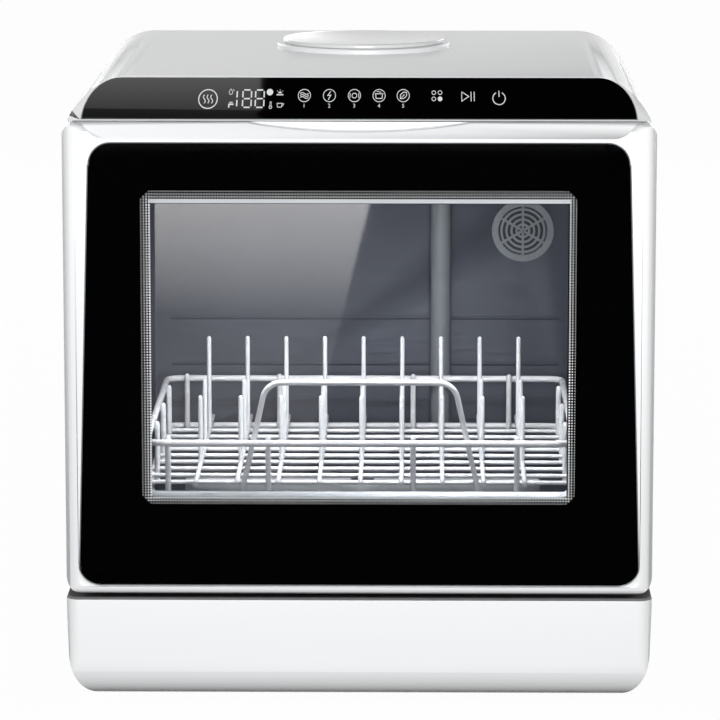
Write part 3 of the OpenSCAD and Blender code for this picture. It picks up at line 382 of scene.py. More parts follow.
def turned(name, outline, centre, material, body, slot, replaced):
    """Spins an outline of (radius, height) points round a vertical axis."""
    mesh = bmesh.new()
    ring = [mesh.verts.new((centre.x + r, centre.y, z)) for r, z in outline]
    edges = [mesh.edges.new(pair) for pair in zip(ring, ring[1:])]
    bmesh.ops.spin(
        mesh, geom=ring + edges, cent=(centre.x, centre.y, 0), axis=(0, 0, 1),
        angle=math.tau, steps=96, use_merge=True, use_duplicate=False,
    )
    bmesh.ops.remove_doubles(mesh, verts=mesh.verts, dist=0.001 * MM)
    return piece(name, mesh, material, body, replaced, smooth=40)


def arc(centre, radius, start, end, steps):
    """Points of (radius, height) along an arc, angles in degrees."""
    points = []
    for i in range(steps + 1):
        t = math.radians(start + (end - start) * i / steps)
        points.append((centre[0] + radius * math.cos(t), centre[1] + radius * math.sin(t)))
    return points


WIRE_TOP_AREA = 40 * MM * MM


def domes_on(name, new_name, rise):
    """Domed ends on the flat tops of a node's upright wires. Larger flat faces are no tops."""
    flat = merged(name)
    tops = [
        (face.calc_center_median(), math.sqrt(face.calc_area() / math.pi))
        for face in flat.faces
        if face.normal.z > 0.999 and face.calc_area() < WIRE_TOP_AREA
    ]
    flat.free()
    mesh = bmesh.new()
    for centre, radius in tops:
        place = Matrix.Translation(centre) @ Matrix.Diagonal((1, 1, rise, 1))
        bmesh.ops.create_uvsphere(
            mesh, u_segments=16, v_segments=10, radius=radius * 0.995, matrix=place
        )
    return piece(new_name, mesh, FINISH[name], nodes[name]["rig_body"], smooth=60)


# ---- Mouldings and pressings ----

# Edge radius of each piece, and for some also the shortest edge that gets it, in mm
EDGES = {
    "left_side_panel": [0.4],
    "right_side_panel": [0.4],
    "front_frame": [0.5],
    "tub_shell": [0.4],
    "tub_seal": [1.0],
    "window_seal": [0.6],
    "door_liner": [0.4],
    "basket_tracks": [0.4],
    "front_rollers": [0.8],
    "rear_rollers": [0.8],
    "hinge_brackets": [0.3],
    "latch_housing": [0.4],
    "lower_spray_arm": [0.9],
    "upper_spray_arm": [0.9],
    "inlet_valve": [0.4],
    "drain_outlet": [0.4],
    "cord_gland": [0.8],
    "feet": [0.6],
    "top_cover": [0.4, 6],
    "door_frame": [0.6, 3],
    "back_panel": [0.5, 3],
    "water_tank": [1.2, 6],
    "plinth": [0.8, 6],
}
for moulding, sizes in EDGES.items():
    moulded(moulding, *[size * MM for size in sizes])


def make_ledge_felt():
    """Painted shade along the plinth's ledge, in the gap under the door: the ledge's faces there
    take a mid grey.
    """
    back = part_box("front_frame")[0].y
    plinth = bpy.data.objects["plinth_moulding"].data
    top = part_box("plinth")[1].z
    mesh = bmesh.new()
    mesh.from_mesh(plinth)
    ledge = [
        face for face in mesh.faces
        if face.normal.z > 0.99 and face.calc_center_median().z > top - 0.1 * MM
    ]
    edges = list({edge for face in ledge for edge in face.edges})
    verts = list({vert for face in ledge for vert in face.verts})
    cut = bmesh.ops.bisect_plane(
        mesh, geom=ledge + edges + verts, plane_co=(0, back, 0), plane_no=(0, 1, 0)
    )
    # The ledge in front of the frame takes the painted shade of the gap
    plinth.materials.append(painted_gap_shade)
    for face in cut["geom"]:
        if isinstance(face, bmesh.types.BMFace) and face.calc_center_median().y < back:
            face.material_index = 1
    mesh.to_mesh(plinth)
    mesh.free()


make_ledge_felt()

domes_on("basket_posts", "post_ends", 1.3)
domes_on("basket_tines", "tine_ends", 1.0)


def make_ground_glass(name, new_name, bevel):
    """A pane with a ground bevel round its front face."""
    mesh = merged(name)
    front = max(
        (face for face in mesh.faces if face.normal.y < -0.3), key=lambda face: face.calc_area()
    )
    result = bmesh.ops.bevel(
        mesh, geom=list(front.edges), offset=bevel, offset_type="OFFSET", affect="EDGES",
        segments=1, profile=0.5, material=-1, clamp_overlap=False, loop_slide=True,
    )
    for face in result["faces"]:
        face.material_index = 1
    pane = piece(new_name, mesh, FINISH[name], nodes[name]["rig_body"], [name])
    pane.data.materials.append(ground_edge)
    return pane


make_ground_glass("door_glass", "front_pane", 0.6 * MM)
make_ground_glass("control_glass", "strip_pane", 0.5 * MM)


# ---- Filler lid ----


def make_lid():
    """The round lid: a shallow polished dish with a rolled rim, and the plug under it."""
    low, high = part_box("fill_cap")
    centre = (low + high) / 2
    radius = (high.x - low.x) / 2
    rim = 1.4 * MM
    skirt = high.z - 3.2 * MM
    dish_edge = radius - 2 * rim
    depth = 2.4 * MM
    dish_r = (dish_edge**2 + depth**2) / (2 * depth)
    bottom = high.z - depth
    bowl = [
        (r, bottom + dish_r - math.sqrt(dish_r**2 - r**2))
        for r in [dish_edge * i / 16 for i in range(17)]
    ]
    plug = 47.4 * MM
    plug_wall = 2.4 * MM
    chamfer = 0.5 * MM
    outline = bowl + arc((radius - rim, high.z - rim), rim, 100, 0, 8)
    outline += [(radius, skirt + chamfer), (radius - chamfer, skirt), (plug, skirt)]
    outline += [(plug, low.z), (plug - plug_wall, low.z), (plug - plug_wall, skirt - chamfer)]
    outline += [(0, skirt - chamfer)]
    # The lid takes the polished plastic with its painted shade
    return turned("lid", outline, centre, polished_shaded_abs, "cap", "white_cap", ["fill_cap"])


def make_collar():
    """The collar round the lid's seat, with a soft outer shoulder."""
    low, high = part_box("fill_collar")
    centre = (low + high) / 2
    radius = (high.x - low.x) / 2
    shoulder = 1.6 * MM
    top = high.z
    deck = top - 3.6 * MM
    bore = 48 * MM
    outline = [(bore, low.z), (bore, top - 0.3 * MM), (bore + 0.3 * MM, top), (bore + MM, top)]
    outline += [(bore + MM, top - 2 * MM), (bore + 4 * MM, top - 2 * MM), (bore + 4 * MM, top)]
    outline += arc((radius - shoulder, top - shoulder), shoulder, 90, 0, 6)
    outline += [(radius, deck), (bore + 6 * MM, deck), (bore + 6 * MM, low.z), (bore, low.z)]
    return turned(
        "filler_collar", outline, centre, gloss_abs, "cabinet", "gloss_white", ["fill_collar"]
    )


make_lid()
make_collar()


# ---- Print of the control strip ----
# Symbols are drawn flat in their own millimetres, as the eye in front of the strip sees them,
# stretched up the slope, and raised to a thin print.

PRINT_T = 0.06 * MM
STRIP_STRETCH = 1.65


def strip_frame():
    """Where the strip's low edge lies, and its across, up and outward directions."""
    face = max(
        (p for p in nodes["control_glass"].data.polygons if p.normal.z > 0.5 and p.normal.y < -0.3),
        key=lambda p: p.area,
    )
    out = face.normal.copy()
    across = Vector((1, 0, 0))
    up = out.cross(across).normalized()
    vertices = [nodes["control_glass"].data.vertices[i].co for i in face.vertices]
    on_face = vertices[0]
    low = min((v.co - on_face).dot(up) for v in nodes["control_glass"].data.vertices
              if abs((v.co - on_face).dot(out)) < 0.01 * MM)
    origin = on_face + up * low
    origin.x = 0
    place = Matrix((across, up, out)).transposed().to_4x4()
    place.translation = origin
    return place


def disc(mesh, u, v, radius, steps=28):
    """A filled circle."""
    place = Matrix.Translation((u, v, 0))
    bmesh.ops.create_circle(mesh, cap_ends=True, segments=steps, radius=radius, matrix=place)


def hoop(mesh, u, v, radius, width, start=0, sweep=360, steps=36):
    """A ring, or part of one, of that middle radius and width, angles in degrees."""
    t = math.radians(start)
    ends = [
        mesh.verts.new((u + r * math.cos(t), v + r * math.sin(t), 0))
        for r in (radius - width / 2, radius + width / 2)
    ]
    edge = mesh.edges.new(ends)
    bmesh.ops.spin(
        mesh, geom=ends + [edge], cent=(u, v, 0), axis=(0, 0, 1), angle=math.radians(sweep),
        steps=steps, use_merge=sweep == 360, use_duplicate=False,
    )


def stroke(mesh, points, width):
    """A bent line with square ends and mitred bends."""
    rails = []
    for i, (u, v) in enumerate(points):
        before = Vector(points[i]) - Vector(points[i - 1]) if i else None
        after = Vector(points[i + 1]) - Vector(points[i]) if i + 1 < len(points) else None
        ahead = (before or after).normalized() + (after or before).normalized()
        ahead.normalize()
        mitre = max(ahead.dot((before or after).normalized()), 0.5)
        side = Vector((-ahead.y, ahead.x)) * width / 2 / mitre
        rails.append([mesh.verts.new((u + s * side.x, v + s * side.y, 0)) for s in (-1, 1)])
    for (a, b), (c, d) in zip(rails, rails[1:]):
        mesh.faces.new((a, c, d, b))


def wave(u, v, size):
    """Points of one wave across an icon."""
    return [
        (u + size * (2 * i / 12 - 1), v + size * 0.22 * math.sin(math.tau * i / 12))
        for i in range(13)
    ]


def digit(mesh, u, v, wide, tall, lit):
    """A figure of seven segments: top, two upper sides, middle, two lower sides, bottom."""
    thick = 0.95
    gap = 0.35
    hw, hh = wide / 2 - thick / 2, tall / 2 - thick / 2
    ends = [
        ((-hw, hh), (hw, hh)), ((-hw, hh), (-hw, 0)), ((hw, hh), (hw, 0)), ((-hw, 0), (hw, 0)),
        ((-hw, 0), (-hw, -hh)), ((hw, 0), (hw, -hh)), ((-hw, -hh), (hw, -hh)),
    ]
    for i in lit:
        start, end = Vector(ends[i][0]), Vector(ends[i][1])
        step = (end - start).normalized() * (thick / 2 + gap)
        middle = Vector((u, v))
        stroke(mesh, [middle + start + step, middle + end - step], thick)


def icon_dry(mesh):
    """Three rising wisps in a ring: drying."""
    hoop(mesh, 0, 0, 6.6, 0.75, steps=56)
    for u in (-2.6, 0, 2.6):
        points = [(u + 0.75 * math.sin(math.tau * i / 12), -3 + 6 * i / 12) for i in range(13)]
        stroke(mesh, points, 0.6)


def icon_drop(mesh):
    """A drop and a shine beside it: rinse aid."""
    points = [(0, 2.2), (-1.1, 0.4), (-1.25, -0.6), (-0.7, -1.5), (0, -1.75)]
    stroke(mesh, points, 0.42)
    stroke(mesh, [(-u, v) for u, v in points], 0.42)
    stroke(mesh, [(1.6, 2.0), (2.3, 0.6)], 0.4)


def icon_tap(mesh):
    """A tap: water supply."""
    stroke(mesh, [(-1.2, 1.9), (1.4, 1.9)], 0.55)
    stroke(mesh, [(0.1, 1.9), (0.1, 0.7)], 0.55)
    stroke(mesh, [(2.0, 0.5), (-1.3, 0.5), (-1.3, -1.9)], 0.95)


def icon_gauge(mesh):
    """A thermometer: heat."""
    hoop(mesh, 0, -1.5, 0.95, 0.45, steps=20)
    stroke(mesh, [(-0.45, -0.6), (-0.45, 2.2), (0.45, 2.2), (0.45, -0.6)], 0.35)


def icon_lamp(mesh):
    """A half sun over a line: shine."""
    hoop(mesh, 0, -0.5, 0.8, 1.0, start=0, sweep=180, steps=12)
    stroke(mesh, [(-2.4, -1.5), (2.4, -1.5)], 0.75)
    for turn in (40, 90, 140):
        t = math.radians(turn)
        stroke(mesh, [(2.0 * math.cos(t), -0.4 + 2.0 * math.sin(t)),
                      (2.7 * math.cos(t), -0.4 + 2.7 * math.sin(t))], 0.35)


def icon_cup(mesh):
    """A cup: light wash."""
    stroke(mesh, [(-2.2, 1.2), (-1.7, -1.5), (1.0, -1.5), (1.5, 1.2), (-2.2, 1.2)], 0.42)
    stroke(mesh, [(1.4, 0.7), (2.5, 0.9), (1.9, -0.7), (1.1, -0.6)], 0.38)


def icon_bolt(mesh):
    """A bolt: quick."""
    stroke(mesh, [(0.9, 2.9), (-1.2, 0.1), (1.0, 0.3), (-0.8, -2.9)], 0.55)


def icon_waves(mesh):
    """Three waves: everyday."""
    for v in (1.4, 0, -1.4):
        stroke(mesh, wave(0, v, 3.0), 0.5)


def icon_plate(mesh):
    """A plate between two rails: half load."""
    hoop(mesh, 0, 0, 1.7, 0.45, steps=24)
    stroke(mesh, [(-3.1, 1.8), (-3.1, -1.8)], 0.45)
    stroke(mesh, [(3.1, 1.8), (3.1, -1.8)], 0.45)


def icon_pot(mesh):
    """A pot with a lid and steam: heavy."""
    stroke(mesh, [(-2.4, 0.9), (-2.1, -2.0), (2.1, -2.0), (2.4, 0.9)], 0.5)
    stroke(mesh, [(-3.0, 1.3), (3.0, 1.3)], 0.5)
    stroke(mesh, wave(0, 2.7, 1.6), 0.4)


def icon_leaf(mesh):
    """A leaf: saving."""
    points = [(-2.0, -2.2), (-1.9, 0.6), (0.2, 2.5), (2.4, 2.3)]
    stroke(mesh, points, 0.5)
    stroke(mesh, [(2.4, 2.3), (2.3, -0.2), (0.4, -2.0), (-2.0, -2.2), (0.9, 0.8)], 0.5)


def icon_grid(mesh):
    """Three rings and a disc: choice of mode."""
    for u in (-2.2, 2.2):
        for v in (-2.2, 2.2):
            if (u, v) == (2.2, -2.2):
                disc(mesh, u, v, 1.65, steps=20)
            else:
                hoop(mesh, u, v, 1.35, 0.45, steps=20)


def icon_play(mesh):
    """Start and pause."""
    stroke(mesh, [(-4.6, 3.3), (0.4, 0), (-4.6, -3.3), (-4.6, 3.3)], 0.5)
    for u in (2.0, 4.2):
        stroke(mesh, [(u, 3.4), (u, -3.4)], 0.55)


def icon_power(mesh):
    """A broken ring and a bar: power."""
    hoop(mesh, 0, 0, 4.4, 0.6, start=118, sweep=304, steps=40)
    stroke(mesh, [(0, 5.3), (0, 1.1)], 0.65)


def display(mesh):
    """A one and two eights, with every segment lit."""
    right_side = [2, 5]
    every = list(range(7))
    for u, lit in [(-3.6, right_side), (6.55, every), (15.55, every)]:
        digit(mesh, u, 0, 7, 13.2, lit)


NUMBER_TALL = 2.7


def number(mesh, text):
    """A plain figure, centred on the origin."""
    writing = bpy.data.curves.new("figure", "FONT")
    writing.body = text
    writing.size = NUMBER_TALL * 1.4
    writing.align_x = "CENTER"
    writing.align_y = "CENTER"
    written = bpy.data.objects.new("figure", writing)
    shape = bpy.data.meshes.new_from_object(written)
    mesh.from_mesh(shape)
    bpy.data.objects.remove(written)
    bpy.data.curves.remove(writing)
    bpy.data.meshes.remove(shape)


# Each symbol with its place across the strip and up it from the strip's low edge, in mm
SYMBOLS = [
    ("dry", icon_dry, -107.3, 23.5),
    ("rinse", icon_drop, -91.3, 31.7),
    ("water", icon_tap, -91.0, 16.6),
    ("display", display, -86.2, 24.0),
    ("heat", icon_gauge, -62.8, 16.6),
    ("shine", icon_lamp, -56.4, 31.0),
    ("cup", icon_cup, -56.1, 16.6),
    ("mode", icon_grid, 54.9, 27.6),
    ("start", icon_play, 77.1, 26.8),
    ("power", icon_power, 98.9, 24.7),
]
PROGRAMS = [icon_waves, icon_bolt, icon_plate, icon_pot, icon_leaf]
PROGRAM_U = [-39.1, -21.3, -3.6, 13.9, 31.0]
PROGRAM_V = 27.7
NUMBER_V = 15.7
LAMP_PLACE = (-63.6, 31.6)


def raise_print(mesh, rise):
    """Gives flat print its thickness."""
    raised = bmesh.ops.extrude_face_region(mesh, geom=mesh.faces[:], use_keep_orig=True)
    top = [item for item in raised["geom"] if isinstance(item, bmesh.types.BMVert)]
    bmesh.ops.translate(mesh, verts=top, vec=rise)


def print_on_strip(name, draw, u, v, slope):
    """Draws a symbol, stretches it up the slope and raises it from the strip's face."""
    mesh = bmesh.new()
    draw(mesh)
    bmesh.ops.remove_doubles(mesh, verts=mesh.verts, dist=0.001)
    bmesh.ops.recalc_face_normals(mesh, faces=mesh.faces)
    raise_print(mesh, (0, 0, PRINT_T / MM))
    scale = Matrix.Diagonal((MM, MM * STRIP_STRETCH, MM, 1))
    place = slope @ Matrix.Translation((u * MM, v * MM, -0.2 * PRINT_T)) @ scale
    bmesh.ops.transform(mesh, matrix=place, verts=mesh.verts)
    return piece("print_" + name, mesh, white_print, "cabinet")


def make_strip_print():
    """The symbols of the strip, and its five numbered programmes in rings."""
    slope = strip_frame()
    for name, draw, u, v in SYMBOLS:
        print_on_strip(name, draw, u, v, slope)
    print_on_strip("lamp", lambda mesh: disc(mesh, 0, 0, 2.3), *LAMP_PLACE, slope)
    for i, (draw, u) in enumerate(zip(PROGRAMS, PROGRAM_U), 1):
        def ringed(mesh, draw=draw):
            """The programme's symbol in its ring."""
            hoop(mesh, 0, 0, 4.35, 0.45)
            draw(mesh)
        print_on_strip(f"program_{i}", ringed, u, PROGRAM_V, slope)
        figure = str(i)
        print_on_strip(
            f"number_{i}", lambda mesh, figure=figure: number(mesh, figure), u, NUMBER_V, slope
        )


make_strip_print()


# ---- Print round the window ----


def window_opening():
    """The lowest and highest corner of the mask's clear opening, on its front face."""
    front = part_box("glass_mask")[0].y
    low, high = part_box("glass_mask")
    inner = [
        v.co for v in nodes["glass_mask"].data.vertices
        if abs(v.co.x) < high.x - 20 * MM and low.z + 20 * MM < v.co.z < high.z - 20 * MM
    ]
    reach_x = max(co.x for co in inner)
    return (
        Vector((-reach_x, front, min(co.z for co in inner))),
        Vector((reach_x, front, max(co.z for co in inner))),
    )


DOT_PITCH = 1.95 * MM
DOT_CORNER = 7 * MM
DOTS_LEFT = 6.2 * MM
DOTS_RIGHT = 5.4 * MM
DOTS_TOP = 8.8 * MM
DOTS_BOTTOM = 4.6 * MM
DOT_LARGE = 0.85 * MM
DOT_SMALL = 0.4 * MM
LINE_TALL = 2.4 * MM
LINE_UP = 0.6 * MM


def make_window_dots():
    """Rows of printed dots that shrink outwards from the window."""
    low, high = window_opening()
    out_low = Vector((low.x - DOTS_LEFT, 0, low.z - DOTS_BOTTOM))
    out_high = Vector((high.x + DOTS_RIGHT, 0, high.z + DOTS_TOP))
    middle_z = (low.z + high.z) / 2
    facing = Matrix.Rotation(math.radians(90), 4, "X")
    mesh = bmesh.new()
    columns = round((out_high.x - out_low.x) / DOT_PITCH)
    rows = round((out_high.z - out_low.z) / DOT_PITCH)
    for i in range(columns + 1):
        for k in range(rows + 1):
            x = out_low.x + (out_high.x - out_low.x) * i / columns
            z = out_low.z + (out_high.z - out_low.z) * k / rows
            beyond_x = max(low.x - x, x - high.x)
            beyond_z = max(low.z - z, z - high.z)
            if max(beyond_x, beyond_z) < 0.3 * MM:
                continue
            corner_x = max(out_low.x + DOT_CORNER - x, x - out_high.x + DOT_CORNER, 0)
            corner_z = max(out_low.z + DOT_CORNER - z, z - out_high.z + DOT_CORNER, 0)
            if math.hypot(corner_x, corner_z) > DOT_CORNER + 0.1 * MM:
                continue
            reach_x = beyond_x / (DOTS_LEFT if x < 0 else DOTS_RIGHT)
            reach_z = beyond_z / (DOTS_BOTTOM if z < middle_z else DOTS_TOP)
            radius = DOT_LARGE + (DOT_SMALL - DOT_LARGE) * min(max(reach_x, reach_z), 1)
            place = Matrix.Translation((x, low.y + 0.01 * MM, z)) @ facing
            bmesh.ops.create_circle(
                mesh, cap_ends=True, segments=6, radius=radius, matrix=place
            )
    raise_print(mesh, (0, -PRINT_T, 0))
    piece("window_dots", mesh, white_print, "door")


def make_window_line():
    """The pale printed line along the top of the window."""
    low, high = window_opening()
    line = bmesh.new()
    size = (high.x - low.x + 2 * MM, PRINT_T, LINE_TALL)
    centre = Vector(((low.x + high.x) / 2, low.y - PRINT_T, high.z + LINE_UP + LINE_TALL / 2))
    bmesh.ops.create_cube(
        line, size=1, matrix=Matrix.Translation(centre) @ Matrix.Diagonal((*size, 1))
    )
    soften(line, 0.02 * MM, 1)
    piece("window_line", line, pale_print, "door")


make_window_dots()
make_window_line()


# ---- Details inside the tub ----


def section_ring(mesh, centre, section):
    """A ring about a front-to-back axis with a section of (radius, distance back) points."""
    x, y, z = centre
    corners = [mesh.verts.new((x + r, y + d, z)) for r, d in section]
    edges = [mesh.edges.new((corners[i], corners[i - 1])) for i in range(len(corners))]
    bmesh.ops.spin(
        mesh, geom=corners + edges, cent=centre, axis=(0, 1, 0), angle=math.tau,
        steps=48, use_merge=True, use_duplicate=False,
    )


def ring_y(mesh, centre, radius, wide, deep):
    """A flat ring about a front-to-back axis, of a rectangular section."""
    near, far = radius - wide / 2, radius + wide / 2
    section_ring(mesh, centre, [(near, 0), (far, 0), (far, -deep), (near, -deep)])


TUB_WALL = 2.0 * MM
GRILLE_RIM = 22 * MM
GRILLE_RINGS = (5 * MM, 9 * MM, 13 * MM, 17 * MM)
BEAD_HEIGHTS = (183 * MM, 220 * MM)
BEAD_R = 1.4 * MM
BEAD_FROM_SIDE = 20 * MM


def make_fan_grille():
    """Rings and spokes over the drying air's inlet in the back of the tub."""
    low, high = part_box("fan_housing")
    wall = low.y - TUB_WALL
    centre = Vector(((low.x + high.x) / 2, wall, (low.z + high.z) / 2))
    mesh = bmesh.new()
    ring_y(mesh, centre, GRILLE_RIM, 5 * MM, 1.6 * MM)
    for radius in GRILLE_RINGS:
        ring_y(mesh, centre, radius, 1.7 * MM, 1.2 * MM)
    for turn in (30, 90, 150):
        spoke = Matrix.Translation(centre + Vector((0, -0.55 * MM, 0)))
        spoke = spoke @ Matrix.Rotation(math.radians(turn), 4, "Y")
        spoke = spoke @ Matrix.Diagonal((2 * GRILLE_RIM - 2 * MM, 1.1 * MM, 1.8 * MM, 1))
        bmesh.ops.create_cube(mesh, size=1, matrix=spoke)
    piece("fan_grille", mesh, grey_polypropylene, "cabinet")
    screen = bmesh.new()
    place = Matrix.Translation(centre + Vector((0, 0.4 * MM, 0)))
    bmesh.ops.create_circle(
        screen, cap_ends=True, segments=48, radius=GRILLE_RIM - 2 * MM,
        matrix=place @ Matrix.Rotation(math.radians(90), 4, "X"),
    )
    piece("fan_screen", screen, dark_polypropylene, "cabinet")


def make_tub_beads():
    """Two stiffening beads pressed along the back of the tub."""
    low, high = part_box("tub_shell")
    wall = high.y - TUB_WALL
    mesh = bmesh.new()
    for z in BEAD_HEIGHTS:
        place = Matrix.Translation((0, wall, z)) @ Matrix.Diagonal((1, 0.35, 1, 1))
        place = place @ Matrix.Rotation(math.radians(90), 4, "Y")
        bmesh.ops.create_cone(
            mesh, cap_ends=True, segments=14, radius1=BEAD_R, radius2=BEAD_R,
            depth=high.x - low.x - 2 * BEAD_FROM_SIDE, matrix=place,
        )
    # The beads take the tub's stainless with its painted shade
    piece("tub_beads", mesh, tub_steel, "cabinet", smooth=50)


make_fan_grille()
make_tub_beads()


# ---- Hose connectors ----


def connector_end(name, middle_z):
    """The middle and the radius of a connector's open end."""
    low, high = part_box(name)
    middle_x = (low.x + high.x) / 2
    end = [v.co for v in nodes[name].data.vertices if v.co.y > high.y - 0.1 * MM]
    return Vector((middle_x, high.y, middle_z)), max(co.x - middle_x for co in end)


def make_hose_ends():
    """Barbs on the drain connector and a thread on the inlet."""
    low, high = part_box("drain_outlet")
    end, radius = connector_end("drain_outlet", (low.z + high.z) / 2)
    barbs = bmesh.new()
    for back in (2, 7.5, 13):
        section = [(-0.2, 0), (0.1, 0), (1.3, -4), (1.3, -4.6), (-0.2, -4.6)]
        place = end + Vector((0, -back * MM, 0))
        section_ring(barbs, place, [(radius + r * MM, d * MM) for r, d in section])
    piece("drain_barbs", barbs, grey_polypropylene, "cabinet")
    end, radius = connector_end("inlet_valve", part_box("inlet_valve")[1].z - 18 * MM)
    thread = bmesh.new()
    for turn in range(6):
        section = [(-0.2, 0), (0.1, 0), (0.8, -0.8), (0.8, -1.1), (0.1, -1.9), (-0.2, -1.9)]
        place = end + Vector((0, -(1.2 + 2.2 * turn) * MM, 0))
        section_ring(thread, place, [(radius + r * MM, d * MM) for r, d in section])
    piece("inlet_thread", thread, blue_nylon, "cabinet")


make_hose_ends()


# ---- Screw heads ----


HEAD_AREA = 15 * MM * MM
CROSS_LONG = 3.2 * MM
CROSS_WIDE = 0.8 * MM
CROSS_PROUD = 0.06 * MM


def make_screw_crosses(name, new_name, outward):
    """Dark crosses on the heads of a node's screws, which face outward: flat marks whose dark is
    painted shade of the cross recesses.
    """
    flat = merged(name)
    heads = [
        face.calc_center_median() for face in flat.faces
        if face.normal.dot(outward) > 0.999 and face.calc_area() > HEAD_AREA
    ]
    flat.free()
    turn = Vector((0, 0, 1)).rotation_difference(outward).to_matrix().to_4x4()
    mesh = bmesh.new()
    for head in heads:
        for spin in (0, 90):
            place = Matrix.Translation(head) @ turn @ Matrix.Rotation(math.radians(spin), 4, "Z")
            place = place @ Matrix.Diagonal((CROSS_LONG, CROSS_WIDE, CROSS_PROUD, 1))
            bmesh.ops.create_cube(mesh, size=1, matrix=place)
    # The crosses carry the painted shade of a recess, and are not hollow
    return piece(new_name, mesh, recess_shadow, nodes[name]["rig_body"])


make_screw_crosses("case_screws", "case_screw_crosses", Vector((0, 1, 0)))
make_screw_crosses("door_screws", "door_screw_crosses", Vector((0, 1, 0)))


# ---- Camera, floor and light ----

CAMERA_PLACE = Vector((0.039, -3.2175, 0.7528))
CAMERA_PITCH = 9.55
CAMERA_YAW = 0.73
CAMERA_LENS = 214.6


def make_camera():
    """A long lens before the object, a little above it."""
    lens = bpy.data.cameras.new("camera")
    lens.lens = CAMERA_LENS
    lens.sensor_width = 36
    lens.clip_end = 50
    camera = bpy.data.objects.new("camera", lens)
    camera.location = CAMERA_PLACE
    camera.rotation_euler = (math.radians(90 - CAMERA_PITCH), 0, math.radians(CAMERA_YAW))
    bpy.context.scene.collection.objects.link(camera)
    bpy.context.scene.camera = camera


def lamp(name, place, target, wide, tall, power):
    """A soft rectangular lamp that shines on a target."""
    light = bpy.data.lights.new(name, "AREA")
    light.shape = "RECTANGLE"
    light.size = wide
    light.size_y = tall
    light.energy = power
    made = bpy.data.objects.new(name, light)
    made.location = place
    made.rotation_euler = (Vector(target) - Vector(place)).to_track_quat("-Z", "Y").to_euler()
    bpy.context.scene.collection.objects.link(made)
    return made


def board(name, mesh, material):
    """Makes an object of a flat mesh and its material."""
    data = bpy.data.meshes.new(name)
    mesh.to_mesh(data)
    mesh.free()
    data.materials.append(material)
    made = bpy.data.objects.new(name, data)
    bpy.context.scene.collection.objects.link(made)
    return made


def card(name, corners, colour, strength, fade=None, low=0.0):
    """A board that only reflections see. It may fade to a low level along an axis."""
    mesh = bmesh.new()
    mesh.faces.new([mesh.verts.new(corner) for corner in corners])
    material, tree = empty_material(name)
    level = strength
    if fade:
        axis, dark, bright = fade
        place = add(tree, "TexCoord")
        parts = add(tree, "SeparateXYZ", {"Vector": (place, "Object")})
        ramp = add(
            tree, "MapRange",
            {"Value": (parts, axis), "From Min": dark, "From Max": bright, "To Min": low,
             "To Max": strength},
        )
        level = (ramp, 0)
    glow = add(tree, "Emission", {"Color": linear(colour), "Strength": level})
    add(tree, "OutputMaterial", {"Surface": (glow, 0)})
    made = board(name, mesh, material)
    made.visible_camera = False
    made.visible_diffuse = False
    made.visible_transmission = False
    made.visible_shadow = False
    return made


def seen_rays(tree):
    """One for what is seen, straight, mirrored or through glass, and nought for other light."""
    rays = add(tree, "LightPath")
    straight = {0: (rays, "Is Camera Ray"), 1: (rays, "Is Glossy Ray")}
    eye = add(tree, "Math", straight, operation="MAXIMUM")
    return add(tree, "Math", {0: (eye, 0), 1: (rays, "Is Transmission Ray")}, operation="MAXIMUM")


FLOOR_GLOW = 0.97
SKY_LEVEL = 0.34


def make_floor():
    """A pale floor: white to the eye with the object's faint shadow, duller to other light."""
    mesh = bmesh.new()
    bmesh.ops.create_grid(mesh, x_segments=1, y_segments=1, size=15)
    material, tree = empty_material("pale_floor")
    looked_at = seen_rays(tree)
    white = add(tree, "Emission", {"Color": linear("#ffffff"), "Strength": 1.0})
    tint = mixed_colours(tree, looked_at, "#484848", "#f4f4f4")
    paint = add(tree, "BsdfDiffuse", {"Color": (tint, 2)})
    share = add(tree, "Math", {0: (looked_at, 0), 1: FLOOR_GLOW}, operation="MULTIPLY")
    mix = add(tree, "MixShader", {0: (share, 0), 1: (paint, 0), 2: (white, 0)})
    add(tree, "OutputMaterial", {"Surface": (mix, 0)})
    floor = board("floor", mesh, material)


def make_world():
    """White to the eye and in reflections, a plain soft level on the object."""
    world = bpy.data.worlds.new("studio")
    world.use_nodes = True
    tree = world.node_tree
    tree.nodes.clear()
    looked_at = seen_rays(tree)
    level = add(tree, "MapRange", {"Value": (looked_at, 0), "To Min": SKY_LEVEL, "To Max": 1.0})
    sky = add(tree, "Background", {"Color": linear("#ffffff"), "Strength": (level, 0)})
    add(tree, "OutputWorld", {"Surface": (sky, 0)})
    bpy.context.scene.world = world


make_camera()
make_floor()
make_world()
# One lamp lights the front and another the plinth, so that each keeps its own brightness
front_softbox = lamp("front_softbox", (0.1, -3.2, 0.65), (0, 0, 0.22), 1.3, 1.0, 80)
plinth_softbox = lamp("plinth_softbox", (0.05, -2.6, 2.2), (0, -0.2, 0.04), 0.8, 1.0, 118)
lamp("left_softbox", (-2.4, -0.3, 1.5), (0, 0, 0.4), 1.2, 1.0, 3)
lamp("left_rear_softbox", (-1.5, 2.6, 1.1), (0, 0, 0.25), 1.6, 1.2, 15)
lamp("right_rear_softbox", (1.5, 2.6, 1.1), (0, 0, 0.25), 1.6, 1.2, 13)
# A small lamp under the tub's roof, so that the inside can be seen through the window
tub_low, tub_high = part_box("tub_shell")
tub_lamp_y = tub_low.y + 60 * MM
tub_lamp = lamp(
    "tub_lamp", (0, tub_lamp_y, tub_high.z - 8 * MM), (0, tub_lamp_y + 0.03, 0.1), 0.28, 0.05, 1.4
)
tub_lamp.visible_glossy = False

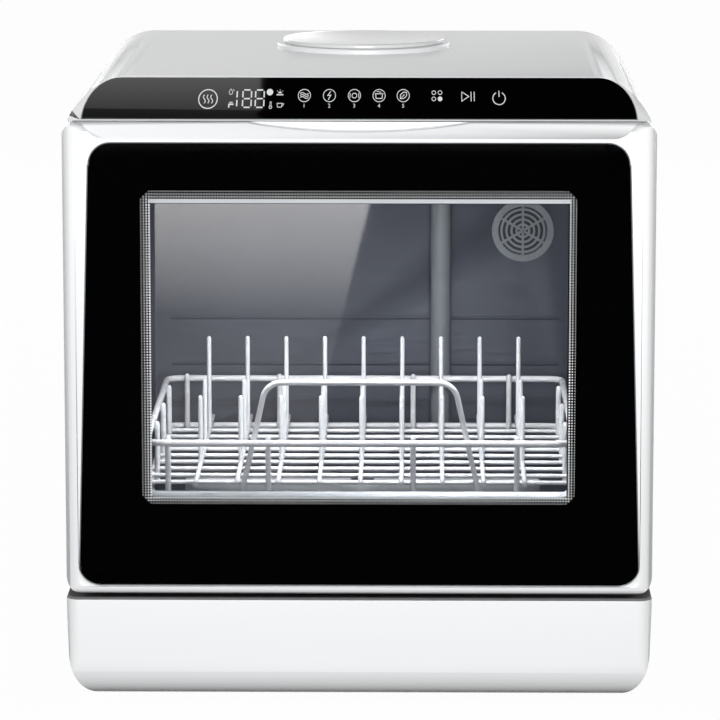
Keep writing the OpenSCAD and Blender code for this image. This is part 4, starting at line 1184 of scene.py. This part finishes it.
# Boards that the front, the control strip and the window mirror
card(
    "floor_flag",
    [(-2, -3.4, 0.02), (2, -3.4, 0.02), (2, -0.25, 0.02), (-2, -0.25, 0.02)],
    "#000000",
    0.0,
)
STRIP_EDGE_X = -0.13
card(
    "ceiling_flag",
    [(STRIP_EDGE_X, -1.0, 2.0), (1.4, -1.0, 2.0), (1.4, 2.2, 2.0), (STRIP_EDGE_X, 2.2, 2.0)],
    "#000000",
    0.0,
)
card(
    "strip_softbox",
    [(-1.4, -1.0, 2.0), (STRIP_EDGE_X, -1.0, 2.0), (STRIP_EDGE_X, 2.2, 2.0), (-1.4, 2.2, 2.0)],
    "#ffffff",
    1.5,
    fade=("Y", 0.383, 0.445),
    low=0.24,
)
glare_card = card(
    "window_glare",
    [(-0.25, -0.6, 0.31), (0.005, -0.6, 0.31), (-0.054, -0.6, 0.065), (-0.25, -0.6, 0.065)],
    "#fff5ec",
    3.6,
    fade=("Z", 0.21, 0.312),
    low=0.3,
)


def link_light(light, name, receivers, state="INCLUDE"):
    """Lets a light or a card reach only some objects, or all but them."""
    group = bpy.data.collections.new(name)
    for receiver in receivers:
        group.objects.link(receiver)
    for row in group.collection_objects:
        row.light_linking.link_state = state
    light.light_linking.receiver_collection = group


# Which lamp reaches what
dressed_plinth = bpy.data.objects["plinth_moulding"]
link_light(front_softbox, "all_but_plinth", [dressed_plinth], "EXCLUDE")
link_light(plinth_softbox, "plinth_alone", [dressed_plinth])
link_light(glare_card, "window_mirrors", [nodes["inner_window"]])
wires = [nodes[name] for name in FINISHES[coated_wire]]
wires += [bpy.data.objects["post_ends"], bpy.data.objects["tine_ends"]]
basket_lamp = lamp(
    "basket_lamp", (0, tub_low.y + 10 * MM, tub_high.z - 20 * MM), (0, tub_low.y + 0.06, 0.15),
    0.28, 0.04, 1.5,
)
link_light(basket_lamp, "basket_alone", wires)
lid_softbox = lamp("lid_softbox", (-0.33, 3.2, 0.98), (-0.05, 0.06, 0.45), 0.5, 0.22, 1.8)
lid_softbox.visible_diffuse = False
link_light(lid_softbox, "lid_mirror", [bpy.data.objects["lid"]])

view = bpy.context.scene.view_settings
view.view_transform = "Standard"
